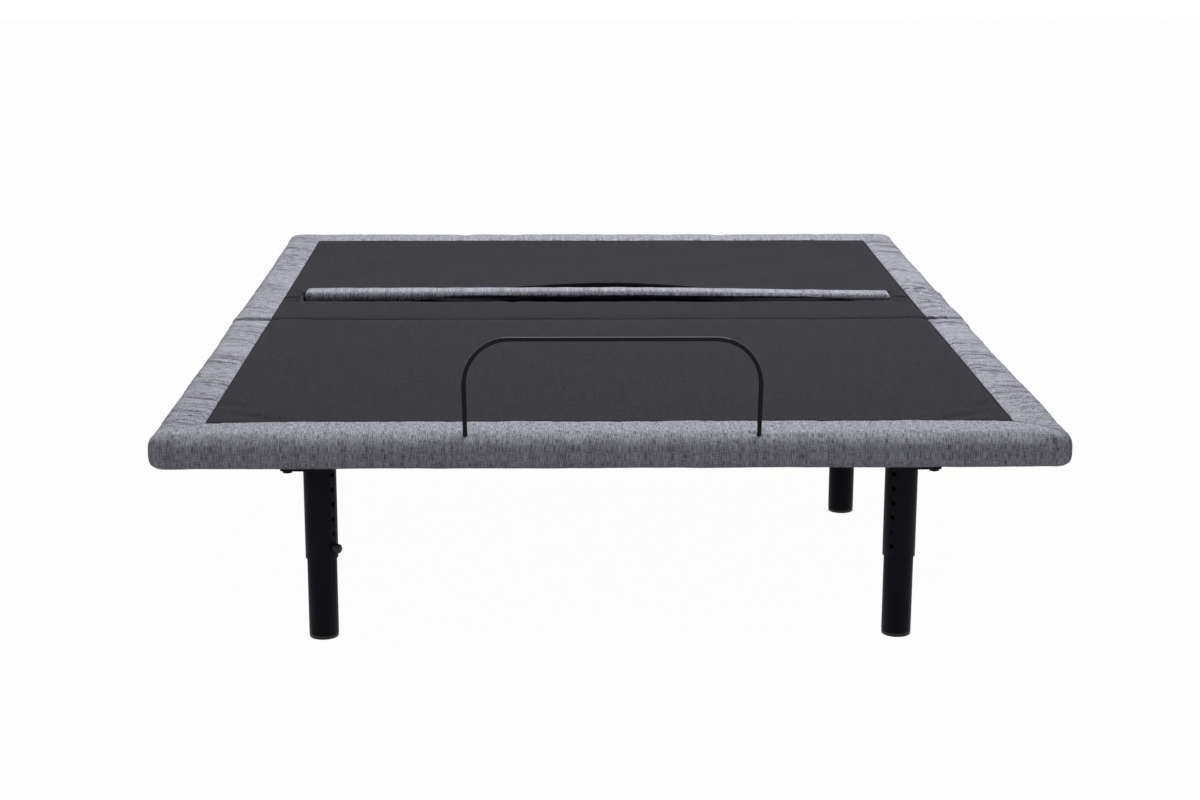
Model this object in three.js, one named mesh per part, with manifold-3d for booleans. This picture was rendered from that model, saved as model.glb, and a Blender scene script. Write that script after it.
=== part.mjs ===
// Adjustable bed base, queen size, built as an assembly of separate named pieces.
// Millimetres. +X is to the right of someone standing at the foot end, +Y runs to the head end, +Z is up.
// The origin is on the floor under the middle of the bed. Every piece is drawn with the bed lying flat.

import * as THREE from 'three';
import { mergeVertices } from 'three/addons/utils/BufferGeometryUtils.js';
import Module from 'manifold-3d';

// ---------------------------------------------------------------------------------------------------
// Driving dimensions
// ---------------------------------------------------------------------------------------------------

const GAP = 0.3; // air left between pieces that touch
const PIN_GAP = 0.5; // play round a pin in its hole

// The deck: four upholstered sections in a row, head, seat, thigh and calf
const WIDTH = 1520;
const LENGTH = 2030;
const LEG_HEIGHT = 305; // floor to the underside of the deck
const DECK_THICK = 57;
const DECK_TOP = LEG_HEIGHT + DECK_THICK;
const CORNER_R = 35; // deck corners, seen from above
const EDGE_R = 22; // rounded edge of the upholstery
const SIDE_BORDER = 79; // width of the grey border on top
const FOOT_BORDER = 106;
const HEAD_BORDER = 89;
const FACE_FOAM = 12.5; // foam and linen on the outer faces
const TOP_FOAM = 9; // foam and cloth on the board
const PAD_DROP = 1; // the black middle lies this much under the border
const LIP = 3; // linen folded under the rim
const BOARD_THICK = 12;
const RIM_THICK = 18;

// Fold lines, each an axis along X
const HIP_Y = 170;
const SEAM_Y = -30;
const KNEE_Y = -490;
const HINGE_Z = 344;

// Slot across the deck for the lumbar bar
const SLOT = { halfWidth: 648, front: HIP_Y - 1, back: 258 };

// Steel frame
const TUBE_WALL = 2; // of every tube in the frame
const RAIL = { inner: 515, outer: 550, height: 38, end: 976 };
const CROSS_INSET = 58; // rail end to the far side of an end cross tube
const CROSS_WIDTH = 30;
const MOVING_TUBE = 25; // square tube of the three lifting frames
const MOVING_X = 420; // middle of those frames' side tubes, and of every hinge
const LUG_R = 8.5;
const LUG_THICK = 6;
const EAR_THICK = 5;
const EAR_PLAY = 1.5; // between a lug and each ear beside it
const BOLT_R = 4;

// Legs
const LEG_X = 487;
const SLEEVE_R = 27.5;
const SLEEVE_LOW = 140; // height of the sleeve's lower end
const SLEEVE_HIGH = 337;
const TUBE_R = 25;
const PLATE_INNER = 27; // from the leg's middle to the flange plate's inner edge
const TUBE_TOP = 205;
const LEG_SIDES = 16; // facets round the leg tubes
const FIRST_HOLE = 160; // height of the lowest hole, which the screw is in
const HOLE_PITCH = 25.4;
const HOLE_COUNT = 6;
const HOLE_R = 5;

// Lumbar lift
const LUMBAR_PIVOT = { y: 480, z: 300 };
const LUMBAR_ELBOW = { y: 222, z: 240 };
const LUMBAR_TUBE_R = 11;
const LUMBAR_ARM = [450, 458]; // inner and outer face of an arm
const LUMBAR_BAR = { halfLength: 640, front: 194, back: 250, bottom: 352, top: 378 };

// Retainer bar at the foot end
const RETAINER = { halfWidth: 248, rodR: 5.25, bendR: 75, top: 521, bottom: 316 };

// Heights that follow from those
const BOARD_TOP = DECK_TOP - TOP_FOAM;
const BOARD_BOTTOM = BOARD_TOP - BOARD_THICK;
const RIM_BOTTOM = LEG_HEIGHT + LIP + GAP;
const STEEL_TOP = BOARD_BOTTOM - GAP; // all steel under the boards ends here
const RAIL_BOTTOM = STEEL_TOP - RAIL.height;
const MOVING_BOTTOM = STEEL_TOP - MOVING_TUBE;
const RIM_MID = LENGTH / 2 - FACE_FOAM - RIM_THICK / 2;
const HEAD_END = LENGTH / 2;
const FOOT_END = -LENGTH / 2;

// ---------------------------------------------------------------------------------------------------
// Solids from three.js geometry
// ---------------------------------------------------------------------------------------------------

const wasm = await Module();
wasm.setup();

const POINTS_PER_MM = 1000; // points are put on this grid, so that faces meant to lie in one plane do

function solidOf(geometry) {
  const plain = geometry.clone();
  plain.deleteAttribute('normal');
  plain.deleteAttribute('uv');
  const onGrid = (value) => Math.round(value * POINTS_PER_MM) / POINTS_PER_MM;
  plain.attributes.position.array = plain.attributes.position.array.map(onGrid);
  const merged = mergeVertices(plain, 1 / POINTS_PER_MM);
  const mesh = new wasm.Mesh({
    numProp: 3,
    vertProperties: new Float32Array(merged.attributes.position.array),
    triVerts: new Uint32Array(merged.index.array),
  });
  return new wasm.Manifold(mesh);
}

function geometryOf(solid) {
  const mesh = solid.getMesh();
  const geometry = new THREE.BufferGeometry();
  geometry.setAttribute('position', new THREE.BufferAttribute(mesh.vertProperties, 3));
  geometry.setIndex(new THREE.BufferAttribute(mesh.triVerts, 1));
  geometry.computeVertexNormals();
  return geometry;
}

const join = (...solids) => solids.flat().reduce((sum, next) => sum.add(next));
const cut = (solid, ...tools) => solid.subtract(join(...tools));

function box([x0, x1], [y0, y1], [z0, z1]) {
  const geometry = new THREE.BoxGeometry(x1 - x0, y1 - y0, z1 - z0);
  geometry.translate((x0 + x1) / 2, (y0 + y1) / 2, (z0 + z1) / 2);
  return solidOf(geometry);
}

// Where a shape's own x, y and depth go for an outline seen from the side, and for one seen from above
const FROM_SIDE = new THREE.Matrix4().makeBasis(
  new THREE.Vector3(0, 1, 0), new THREE.Vector3(0, 0, 1), new THREE.Vector3(1, 0, 0));
const FROM_ABOVE = new THREE.Matrix4();

function push(shape, [from, to], view, options = {}) {
  const settings = { depth: to - from, bevelEnabled: false, curveSegments: 3, ...options };
  const geometry = new THREE.ExtrudeGeometry(shape, settings);
  geometry.translate(0, 0, from);
  geometry.applyMatrix4(view);
  return solidOf(geometry);
}

function polygon(points) {
  return new THREE.Shape(points.map(([a, b]) => new THREE.Vector2(a, b)));
}

function roundedRect([a0, a1], [b0, b1], r) {
  const shape = new THREE.Shape();
  shape.absarc(a1 - r, b0 + r, r, -Math.PI / 2, 0);
  shape.absarc(a1 - r, b1 - r, r, 0, Math.PI / 2);
  shape.absarc(a0 + r, b1 - r, r, Math.PI / 2, Math.PI);
  shape.absarc(a0 + r, b0 + r, r, Math.PI, Math.PI * 1.5);
  shape.closePath();
  return shape;
}

// A flat bar with round ends, seen from the side: from and to are the (y, z) centres of its ends.
function strap(from, to, r, across) {
  const lean = Math.atan2(to.z - from.z, to.y - from.y);
  const shape = new THREE.Shape();
  shape.absarc(to.y, to.z, r, lean - Math.PI / 2, lean + Math.PI / 2);
  shape.absarc(from.y, from.z, r, lean + Math.PI / 2, lean + Math.PI * 1.5);
  shape.closePath();
  return push(shape, across, FROM_SIDE);
}

// A round bar along X through the (y, z) point at
function barX(at, r, [x0, x1], sides = 8) {
  const geometry = new THREE.CylinderGeometry(r, r, x1 - x0, sides);
  geometry.rotateZ(-Math.PI / 2);
  geometry.translate((x0 + x1) / 2, at.y, at.z);
  return solidOf(geometry);
}

// A round bar along Z
function barZ([x, y], r, [z0, z1], sides = 12) {
  const geometry = new THREE.CylinderGeometry(r, r, z1 - z0, sides);
  geometry.rotateX(Math.PI / 2);
  geometry.translate(x, y, (z0 + z1) / 2);
  return solidOf(geometry);
}

// A turned shape about +Z: its profile is a list of [radius, height]
function turned(profile, sides) {
  const points = profile.map(([r, h]) => new THREE.Vector2(r, h));
  const geometry = new THREE.LatheGeometry(points, sides);
  geometry.rotateX(Math.PI / 2);
  return solidOf(geometry);
}

const around = (middle, half) => [middle - half, middle + half];
const bothSides = (make) => [-1, 1].map(make);
const ordered = (a, b) => [Math.min(a, b), Math.max(a, b)];

// A (y, z) point at an angle from straight down about an axis, positive towards +Y
function hanging(axis, radius, degrees) {
  const angle = THREE.MathUtils.degToRad(degrees);
  return { y: axis.y + radius * Math.sin(angle), z: axis.z - radius * Math.cos(angle) };
}

const HIP = { y: HIP_Y, z: HINGE_Z };
const SEAM = { y: SEAM_Y, z: HINGE_Z };
const KNEE = { y: KNEE_Y, z: HINGE_Z };

// ---------------------------------------------------------------------------------------------------
// Finishes and the assembly
// ---------------------------------------------------------------------------------------------------

const FINISH = {
  blackSteel: { color: 0x1a1b1e, roughness: 0.5, metalness: 0.6 },
  zinc: { color: 0x9a9da1, roughness: 0.35, metalness: 0.9 },
  blackPlastic: { color: 0x17181a, roughness: 0.45, metalness: 0 },
  plywood: { color: 0xb08a5c, roughness: 0.7, metalness: 0 },
  linen: { color: 0x83838c, roughness: 0.95, metalness: 0 },
  blackCloth: { color: 0x3a3940, roughness: 0.95, metalness: 0 },
};

const bed = new THREE.Group();

function piece(name, solid, finish, parent = bed) {
  const mesh = new THREE.Mesh(geometryOf(solid), new THREE.MeshStandardMaterial(FINISH[finish]));
  mesh.name = name;
  parent.add(mesh);
}

// ---------------------------------------------------------------------------------------------------
// Deck: plywood trays, linen border and black cloth pads, all cut from three long blanks
// ---------------------------------------------------------------------------------------------------

const EVERYWHERE_X = around(0, WIDTH);
const DECK_SECTIONS = {
  head: [HIP_Y + 1, HEAD_END + 1],
  seat: [SEAM_Y + 1, HIP_Y - 1],
  thigh: [KNEE_Y + 1, SEAM_Y - 1],
  calf: [FOOT_END - 1, KNEE_Y - 1],
};

// Wedge of room at a fold line, with its point at the hinge and its mouth above or below
function foldRoom(y, mouthZ, mouthHalf) {
  const pointZ = HINGE_Z - 2 * Math.sign(mouthZ - HINGE_Z);
  const outline = polygon([[y, pointZ], [y - mouthHalf, mouthZ], [y + mouthHalf, mouthZ]]);
  return push(outline, EVERYWHERE_X, FROM_SIDE);
}

const foldRooms = [
  foldRoom(HIP_Y, DECK_TOP + 1, 12.5),
  foldRoom(SEAM_Y, DECK_TOP + 1, 7),
  foldRoom(KNEE_Y, LEG_HEIGHT - 1, 19),
];

const slotRoom = box(around(0, SLOT.halfWidth), [SLOT.front, SLOT.back], [LEG_HEIGHT - 1, DECK_TOP + 1]);

// Notches under the pads that the hinge lugs stand up in
const LUG_NOTCH = { halfWidth: 18, halfLength: 30 };
const lugNotches = [HIP_Y, SEAM_Y, KNEE_Y].flatMap((y) => bothSides((side) => box(
  around(side * MOVING_X, LUG_NOTCH.halfWidth), around(y, LUG_NOTCH.halfLength),
  [BOARD_BOTTOM - 1, BOARD_TOP + 1])));

const retainerHoles = bothSides((side) => barZ(
  [side * RETAINER.halfWidth, -RIM_MID], RETAINER.rodR + GAP, [RETAINER.bottom - 2, DECK_TOP + 1]));

function sectionOf(blank, [low, high]) {
  return blank.intersect(box(EVERYWHERE_X, [low, high], [0, DECK_TOP * 2]));
}

function deckOutline(inset) {
  const r = CORNER_R - inset;
  return roundedRect(around(0, WIDTH / 2 - inset), around(0, LENGTH / 2 - inset), r);
}

function trayBlank() {
  const outside = push(deckOutline(FACE_FOAM), [RIM_BOTTOM, BOARD_TOP], FROM_ABOVE);
  const inset = FACE_FOAM + RIM_THICK;
  const hollow = box(
    around(0, WIDTH / 2 - inset), around(0, LENGTH / 2 - inset), [RIM_BOTTOM - 1, BOARD_BOTTOM]);
  return cut(outside, hollow, foldRooms, slotRoom, lugNotches, retainerHoles);
}

// The linen wraps over the board's edge, down the face and a little way under the rim.
function borderBlank() {
  const round = { bevelEnabled: true, bevelThickness: EDGE_R, bevelSize: EDGE_R, bevelSegments: 3 };
  const outside = push(
    deckOutline(EDGE_R), [LEG_HEIGHT + EDGE_R, DECK_TOP - EDGE_R], FROM_ABOVE, round);
  const tray = push(deckOutline(FACE_FOAM - GAP), [RIM_BOTTOM - GAP, BOARD_TOP + GAP], FROM_ABOVE);
  const middle = box(
    around(0, WIDTH / 2 - SIDE_BORDER),
    [FOOT_END + FOOT_BORDER, HEAD_END - HEAD_BORDER], [BOARD_BOTTOM, DECK_TOP + 1]);
  const inset = FACE_FOAM + RIM_THICK;
  const underside = box(
    around(0, WIDTH / 2 - inset), around(0, LENGTH / 2 - inset), [LEG_HEIGHT - 1, BOARD_BOTTOM]);
  return cut(outside, tray, middle, underside, foldRooms, retainerHoles);
}

function padBlank() {
  const pad = box(
    around(0, WIDTH / 2 - SIDE_BORDER - GAP),
    [FOOT_END + FOOT_BORDER + GAP, HEAD_END - HEAD_BORDER - GAP],
    [BOARD_TOP + GAP, DECK_TOP - PAD_DROP]);
  return cut(pad, foldRooms, slotRoom);
}

function addDeck() {
  const tray = trayBlank();
  const border = borderBlank();
  const pad = padBlank();
  for (const [name, span] of Object.entries(DECK_SECTIONS)) {
    piece(`${name}_board`, sectionOf(tray, span), 'plywood');
    piece(`${name}_pad`, sectionOf(pad, span), 'blackCloth');
  }
  for (const name of ['head', 'calf']) {
    piece(`${name}_border`, sectionOf(border, DECK_SECTIONS[name]), 'linen');
  }
  for (const name of ['seat', 'thigh']) {
    const strips = sectionOf(border, DECK_SECTIONS[name]);
    const rightHalf = box([0, WIDTH], around(0, LENGTH), [0, DECK_TOP * 2]);
    piece(`${name}_border_left`, strips.subtract(rightHalf), 'linen');
    piece(`${name}_border_right`, strips.intersect(rightHalf), 'linen');
  }
}

// ---------------------------------------------------------------------------------------------------
// Hinges: a lug between two ears on a shoulder bolt, the same at the hip, seam and knee
// ---------------------------------------------------------------------------------------------------

const EAR_IN = LUG_THICK / 2 + EAR_PLAY;
const EAR_OUT = EAR_IN + EAR_THICK;

function boltHole(axis, side) {
  return barX(axis, BOLT_R + PIN_GAP, around(side * MOVING_X, EAR_OUT + 1));
}

function ears(axis, root) {
  return bothSides((side) => {
    const pair = bothSides((face) => strap(root, axis, LUG_R, ordered(
      side * MOVING_X + face * EAR_IN, side * MOVING_X + face * EAR_OUT)));
    return cut(join(pair), boltHole(axis, side));
  });
}

function lugs(axis, root) {
  return bothSides((side) => cut(
    strap(root, axis, LUG_R, around(side * MOVING_X, LUG_THICK / 2)), boltHole(axis, side)));
}

function pinWithHeads(axis, r, [x0, x1], headR, headThick) {
  return join(
    barX(axis, r, [x0, x1]),
    barX(axis, headR, [x0 - headThick, x0], 6),
    barX(axis, headR, [x1, x1 + headThick], 6));
}

function addHingeBolts() {
  for (const [name, axis] of Object.entries({ hip: HIP, seam: SEAM, knee: KNEE })) {
    for (const [side, word] of [[-1, 'left'], [1, 'right']]) {
      const span = around(side * MOVING_X, EAR_OUT + GAP);
      piece(`${name}_bolt_${word}`, pinWithHeads(axis, BOLT_R, span, LUG_R - 1, 4), 'zinc');
    }
  }
}

// ---------------------------------------------------------------------------------------------------
// Base frame: two welded halves, bolted together under the seat
// ---------------------------------------------------------------------------------------------------

const END_CROSS = ordered(RAIL.end - CROSS_INSET - CROSS_WIDTH, RAIL.end - CROSS_INSET);
const FOOT_HALF_CROSS = [-20, 8];
const HEAD_HALF_CROSS = [8 + GAP, 8 + GAP + CROSS_WIDTH];
const HIP_CROSS = [HIP_Y - 20 - CROSS_WIDTH, HIP_Y - 20];
const HANGER = { bottom: 200, height: 30, width: 30 };
const FOOT_HANGER_Y = [-182, -152];
const HEAD_HANGER_Y = [284, 314];
const STAY_PIVOT = { y: -440, z: 324 };
const STAY_TOP = { y: -790, z: (STEEL_TOP + MOVING_BOTTOM) / 2 };
const STAY_X = 455;
const STAY_THICK = 6;
const STAY_PIN_R = 5;
const STAY_PLAY = 1.8; // in the upper hole, because the stay's turn is kept in a constant ratio

// A square tube, by the space it takes and the direction it runs in. before and after say how far its
// inside runs on past its two ends, into the tube it is welded to or out into the open.
function tube(x, y, z, along, before, after = before) {
  const inside = [x, y, z].map(([low, high], direction) => (
    direction === along ? [low - before, high + after] : [low + TUBE_WALL, high - TUBE_WALL]));
  return { outside: box(x, y, z), inside: box(...inside) };
}

// Tubes and plates welded into one piece: whatever is inside a tube is cut away at the end.
function weld(tubes, ...plates) {
  const all = tubes.flat();
  return cut(join(all.map((one) => one.outside), plates.flat()), all.map((one) => one.inside));
}

const [ALONG_X, ALONG_Y, ALONG_Z] = [0, 1, 2];
const RAIL_Z = [RAIL_BOTTOM, STEEL_TOP];
const BETWEEN_RAILS = around(0, RAIL.inner + TUBE_WALL / 2);
const THROUGH_WALL = TUBE_WALL + 1;

const railX = (side) => ordered(side * RAIL.inner, side * RAIL.outer);
const rails = (y) => bothSides((side) => tube(railX(side), y, RAIL_Z, ALONG_Y, 1));

// A tube welded between two others is this much slimmer than they are on each side.
const WELD_STEP = 1;
const slimmer = ([low, high]) => [low + WELD_STEP, high - WELD_STEP];

const crossTube = (y) => tube(BETWEEN_RAILS, y, slimmer(RAIL_Z), ALONG_X, THROUGH_WALL);

// A cross tube hung under the rails on two posts, which an actuator pushes against
function hanger(y) {
  const beamZ = [HANGER.bottom, HANGER.bottom + HANGER.height];
  const postZ = [HANGER.bottom, RAIL_BOTTOM + TUBE_WALL / 2];
  const posts = bothSides((side) => tube(railX(side), y, postZ, ALONG_Z, 1, THROUGH_WALL));
  return [...posts, tube(BETWEEN_RAILS, slimmer(y), slimmer(beamZ), ALONG_X, THROUGH_WALL)];
}

// Two ears round an actuator's rear eye, with the hole for its pin
function clevis(actuator, root) {
  const { x, rear, size } = actuator;
  const inner = size.eyeHalf + 1;
  const pair = bothSides((face) => strap(
    root, rear, size.eyeR - 1, ordered(x + face * inner, x + face * (inner + LUG_THICK))));
  return cut(join(pair), barX(rear, size.pinR + PIN_GAP, around(x, inner + LUG_THICK + 1)));
}

// A pin welded to the frame at x = from, on which a stay turns, with its end upset to keep the stay on
function stayPinSolid(axis, from, side) {
  const outward = Math.sign(STAY_X - from);
  const end = STAY_X + outward * (STAY_THICK / 2 + 1);
  const mirror = (a, b) => ordered(side * a, side * b);
  return join(
    barX(axis, STAY_PIN_R, mirror(from, end)),
    barX(axis, STAY_PIN_R + 4, mirror(end, end + outward * 3)));
}

function stayBrackets() {
  const face = STAY_X + STAY_THICK / 2 + 3;
  return bothSides((side) => join(
    box(ordered(side * face, side * (RAIL.inner + 1)), around(STAY_PIVOT.y, 13), around(STAY_PIVOT.z, 12)),
    stayPinSolid(STAY_PIVOT, face + 1, side)));
}

const COUPLING_BOLT_X = 360;

function couplingHoles() {
  const middle = { y: (RAIL_BOTTOM + STEEL_TOP) / 2 };
  return bothSides((side) => {
    const geometry = new THREE.CylinderGeometry(5 + PIN_GAP, 5 + PIN_GAP, 80, 8);
    geometry.translate(side * COUPLING_BOLT_X, 8, middle.y);
    return solidOf(geometry);
  });
}

function addBaseFrame() {
  const holes = couplingHoles();
  const footTubes = [
    rails([-RAIL.end, FOOT_HALF_CROSS[1]]),
    crossTube([-END_CROSS[1], -END_CROSS[0]]),
    crossTube(FOOT_HALF_CROSS),
    hanger(FOOT_HANGER_Y),
  ];
  const footHalf = weld(footTubes.flat(),
    stayBrackets(),
    ears(SEAM, { y: FOOT_HALF_CROSS[0] + 8, z: STEEL_TOP - 11 }),
    clevis(HEAD_ACTUATOR, { y: FOOT_HANGER_Y[1] - 8, z: HANGER.bottom + 22 }));
  piece('foot_half_frame', cut(footHalf, holes), 'blackSteel');

  const headTubes = [
    rails([HEAD_HALF_CROSS[0], RAIL.end]),
    crossTube(HEAD_HALF_CROSS),
    crossTube(HIP_CROSS),
    crossTube(END_CROSS),
    hanger(HEAD_HANGER_Y),
  ];
  const headHalf = weld(headTubes.flat(),
    ears(HIP, { y: HIP_CROSS[1] - 10, z: STEEL_TOP - 11 }),
    clevis(FOOT_ACTUATOR, { y: HEAD_HANGER_Y[0] + 8, z: HANGER.bottom + 22 }));
  piece('head_half_frame', cut(headHalf, holes), 'blackSteel');

  const reach = [FOOT_HALF_CROSS[0] - GAP, HEAD_HALF_CROSS[1] + GAP];
  for (const [side, word] of [[-1, 'left'], [1, 'right']]) {
    const bolt = pinWithHeads({ y: 0, z: 0 }, 5, reach, 8.5, 7);
    const alongY = new THREE.Matrix4().makeRotationZ(Math.PI / 2);
    const moved = geometryOf(bolt).applyMatrix4(alongY);
    moved.translate(side * COUPLING_BOLT_X, 0, (RAIL_BOTTOM + STEEL_TOP) / 2);
    piece(`frame_bolt_${word}`, solidOf(moved), 'zinc');
  }
}

// ---------------------------------------------------------------------------------------------------
// Lifting frames under the head, thigh and calf boards
// ---------------------------------------------------------------------------------------------------

const MOVING_Z = [MOVING_BOTTOM, STEEL_TOP];
const HINGE_SETBACK = 24; // fold line to the end of a lifting frame's tubes
const RUNG_SETBACK = 13; // end of the side tubes to the near side of the last rung

const END_PLATE = 5; // closes a tube's end where a lug or a pair of ears is welded on

// Two side tubes and the rungs between them. before and after: 1 for an open tube end, less for a closed.
function ladder(y, crossings, before, after) {
  const sides = bothSides((side) => tube(
    around(side * MOVING_X, MOVING_TUBE / 2), y, MOVING_Z, ALONG_Y, before, after));
  const rungs = crossings.map((low) => tube(
    around(0, MOVING_X), [low, low + MOVING_TUBE], slimmer(MOVING_Z), ALONG_X, 0));
  return [...sides, ...rungs];
}

// A tube with both ends closed has a hole underneath, which lets it drain.
function drainHoles(y) {
  const throughBottom = [MOVING_BOTTOM - 1, MOVING_BOTTOM + THROUGH_WALL];
  return bothSides((side) => barZ([side * MOVING_X, y], 4, throughBottom, 8));
}

// The lever that an actuator pushes: a plate from a rung to a slot that the actuator's pin slides in.
// The slot runs along the lever's own radius, because the pin moves in a nearly straight line.
function horn(actuator, rootY) {
  const { x, axis, hornR, hornRest, slotDepth, slotPlay, size } = actuator;
  const tip = hanging(axis, hornR, hornRest);
  const inner = hanging(axis, hornR - slotDepth, hornRest);
  const plate = around(x, size.hornHalf);
  const slot = strap(inner, tip, size.pinR + slotPlay, around(x, size.hornHalf + 1));
  const rim = strap(inner, tip, size.pinR + slotPlay + 6, plate);
  const arm = strap({ y: rootY, z: MOVING_BOTTOM + 8 }, inner, size.pinR + slotPlay + 6, plate);
  return cut(join(arm, rim), slot);
}

function addLiftingFrames() {
  const rootZ = STEEL_TOP - MOVING_TUBE / 2;

  const headRungs = [252, 670, 855];
  const bearingR = LUMBAR_TUBE_R + 6;
  const bearing = bothSides((side) => {
    const across = around(side * MOVING_X, LUG_THICK / 2);
    return strap({ y: LUMBAR_PIVOT.y, z: STEEL_TOP - bearingR }, LUMBAR_PIVOT, bearingR, across);
  });
  const journal = barX(LUMBAR_PIVOT, LUMBAR_TUBE_R + 0.9, around(0, MOVING_X + 20), 12);
  const head = weld(
    ladder([HIP_Y + HINGE_SETBACK, 880], headRungs, -END_PLATE, 1),
    lugs(HIP, { y: HIP_Y + 36, z: rootZ }),
    horn(HEAD_ACTUATOR, headRungs[0] + MOVING_TUBE / 2),
    clevis(LUMBAR_ACTUATOR, { y: headRungs[1] + MOVING_TUBE / 2, z: MOVING_BOTTOM + 8 }),
    cut(join(bearing), journal));
  piece('head_lifting_frame', head, 'blackSteel');

  const thighSpan = [KNEE_Y + HINGE_SETBACK, SEAM_Y - HINGE_SETBACK];
  const thighRungs = [thighSpan[0] + RUNG_SETBACK, thighSpan[1] - RUNG_SETBACK - MOVING_TUBE];
  const thigh = weld(
    ladder(thighSpan, thighRungs, -END_PLATE, -END_PLATE),
    lugs(SEAM, { y: SEAM_Y - 36, z: rootZ }),
    ears(KNEE, { y: KNEE_Y + 32, z: rootZ }),
    horn(FOOT_ACTUATOR, thighRungs[1] + MOVING_TUBE / 2));
  piece('thigh_lifting_frame', cut(thigh, drainHoles((thighSpan[0] + thighSpan[1]) / 2)), 'blackSteel');

  const calfSpan = [-860, KNEE_Y - HINGE_SETBACK];
  const calfRungs = [calfSpan[0] + RUNG_SETBACK, calfSpan[1] - RUNG_SETBACK - MOVING_TUBE];
  const calf = weld(
    ladder(calfSpan, calfRungs, 1, -END_PLATE),
    lugs(KNEE, { y: KNEE_Y - 36, z: rootZ }),
    bothSides((side) => stayPinSolid(STAY_TOP, MOVING_X, side)));
  piece('calf_lifting_frame', calf, 'blackSteel');
}

// The two stays hold the calf section up as the thigh section lifts. The upper hole is the loose one.
function addStays() {
  const across = (side) => around(side * STAY_X, STAY_THICK / 2);
  for (const [side, word] of [[-1, 'left'], [1, 'right']]) {
    const bar = strap(STAY_PIVOT, STAY_TOP, 11, across(side));
    const lowerHole = barX(STAY_PIVOT, STAY_PIN_R + PIN_GAP, around(side * STAY_X, STAY_THICK));
    const upperHole = barX(STAY_TOP, STAY_PIN_R + STAY_PLAY, around(side * STAY_X, STAY_THICK));
    piece(`calf_stay_${word}`, cut(bar, lowerHole, upperHole), 'blackSteel');
  }
}

// ---------------------------------------------------------------------------------------------------
// Lumbar lift
// ---------------------------------------------------------------------------------------------------

const SLAT = { halfLength: 630, front: 202, back: 242, thick: 6 };

function addLumbarLift() {
  const slatTop = LUMBAR_BAR.bottom - GAP;
  const slat = box(
    around(0, SLAT.halfLength), [SLAT.front, SLAT.back], [slatTop - SLAT.thick, slatTop]);
  const arms = bothSides((side) => {
    const across = ordered(side * LUMBAR_ARM[0], side * LUMBAR_ARM[1]);
    const riserTop = { y: LUMBAR_ELBOW.y, z: slatTop - SLAT.thick - 7 };
    return join(
      strap(LUMBAR_PIVOT, LUMBAR_ELBOW, 12, across),
      strap(LUMBAR_ELBOW, riserTop, 12, across));
  });
  const axleEnd = LUMBAR_ARM[1] + 4;
  const axle = barX(LUMBAR_PIVOT, LUMBAR_TUBE_R, around(0, axleEnd), 12);
  const axleInside = barX(LUMBAR_PIVOT, LUMBAR_TUBE_R - TUBE_WALL, around(0, axleEnd + 1), 12);
  const { x, hornR, hornRest, slotDepth, slotPlay, size } = LUMBAR_ACTUATOR;
  const tip = hanging(LUMBAR_PIVOT, hornR, hornRest);
  const inner = hanging(LUMBAR_PIVOT, hornR - slotDepth, hornRest);
  const lever = cut(
    strap(LUMBAR_PIVOT, tip, size.pinR + slotPlay + 6, around(x, size.hornHalf)),
    strap(inner, tip, size.pinR + slotPlay, around(x, size.hornHalf + 1)));
  piece('lumbar_lift_frame', cut(join(slat, arms, axle, lever), axleInside), 'blackSteel');

  const bar = LUMBAR_BAR;
  const round = 9;
  const outline = roundedRect(
    around(0, bar.halfLength - round), [bar.front + round, bar.back - round], 15);
  const soft = {
    bevelEnabled: true, bevelThickness: round, bevelSize: round, bevelSegments: 2, curveSegments: 2,
  };
  piece('lumbar_pad', push(outline, [bar.bottom + round, bar.top - round], FROM_ABOVE, soft), 'linen');
}

// ---------------------------------------------------------------------------------------------------
// Linear actuators
// ---------------------------------------------------------------------------------------------------

// What an actuator is made to: its rear eye, gearbox, motor, outer tube and rod
const LARGE = {
  pinR: 5, eyeR: 13, eyeHalf: 7, hornHalf: 4, gearHalf: 26, gearTall: 27, gearSpan: [18, 84],
  motorR: 21, motorLength: 104, tubeR: 17, rodR: 12, nose: 54, fork: 25, hold: 30,
};
const SMALL = {
  pinR: 4, eyeR: 10, eyeHalf: 6, hornHalf: 4, gearHalf: 20, gearTall: 20, gearSpan: [14, 66],
  motorR: 16, motorLength: 70, tubeR: 13, rodR: 9, nose: 38, fork: 17, hold: 20,
};

const HEAD_ACTUATOR = {
  name: 'head_actuator', x: -70, rear: { y: -130, z: 232 }, axis: HIP, travel: 60,
  hornR: 120, hornRest: -10, slotDepth: 13.2, slotPlay: 2.1, size: LARGE,
};
const FOOT_ACTUATOR = {
  name: 'foot_actuator', x: 70, rear: { y: 260, z: 232 }, axis: SEAM, travel: -35,
  hornR: 120, hornRest: 25, slotDepth: 6.5, slotPlay: 0.9, size: LARGE,
};
const LUMBAR_ACTUATOR = {
  name: 'lumbar_actuator', x: 0, rear: { y: 682, z: 221 }, axis: LUMBAR_PIVOT, travel: -18,
  hornR: 80, hornRest: 9, slotDepth: 1.2, slotPlay: 0.4, size: SMALL,
};

const distance = (a, b) => Math.hypot(b.y - a.y, b.z - a.z);

function barY(r, [y0, y1], sides = 12) {
  const geometry = new THREE.CylinderGeometry(r, r, y1 - y0, sides);
  geometry.translate(0, (y0 + y1) / 2, 0);
  return solidOf(geometry);
}

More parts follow.
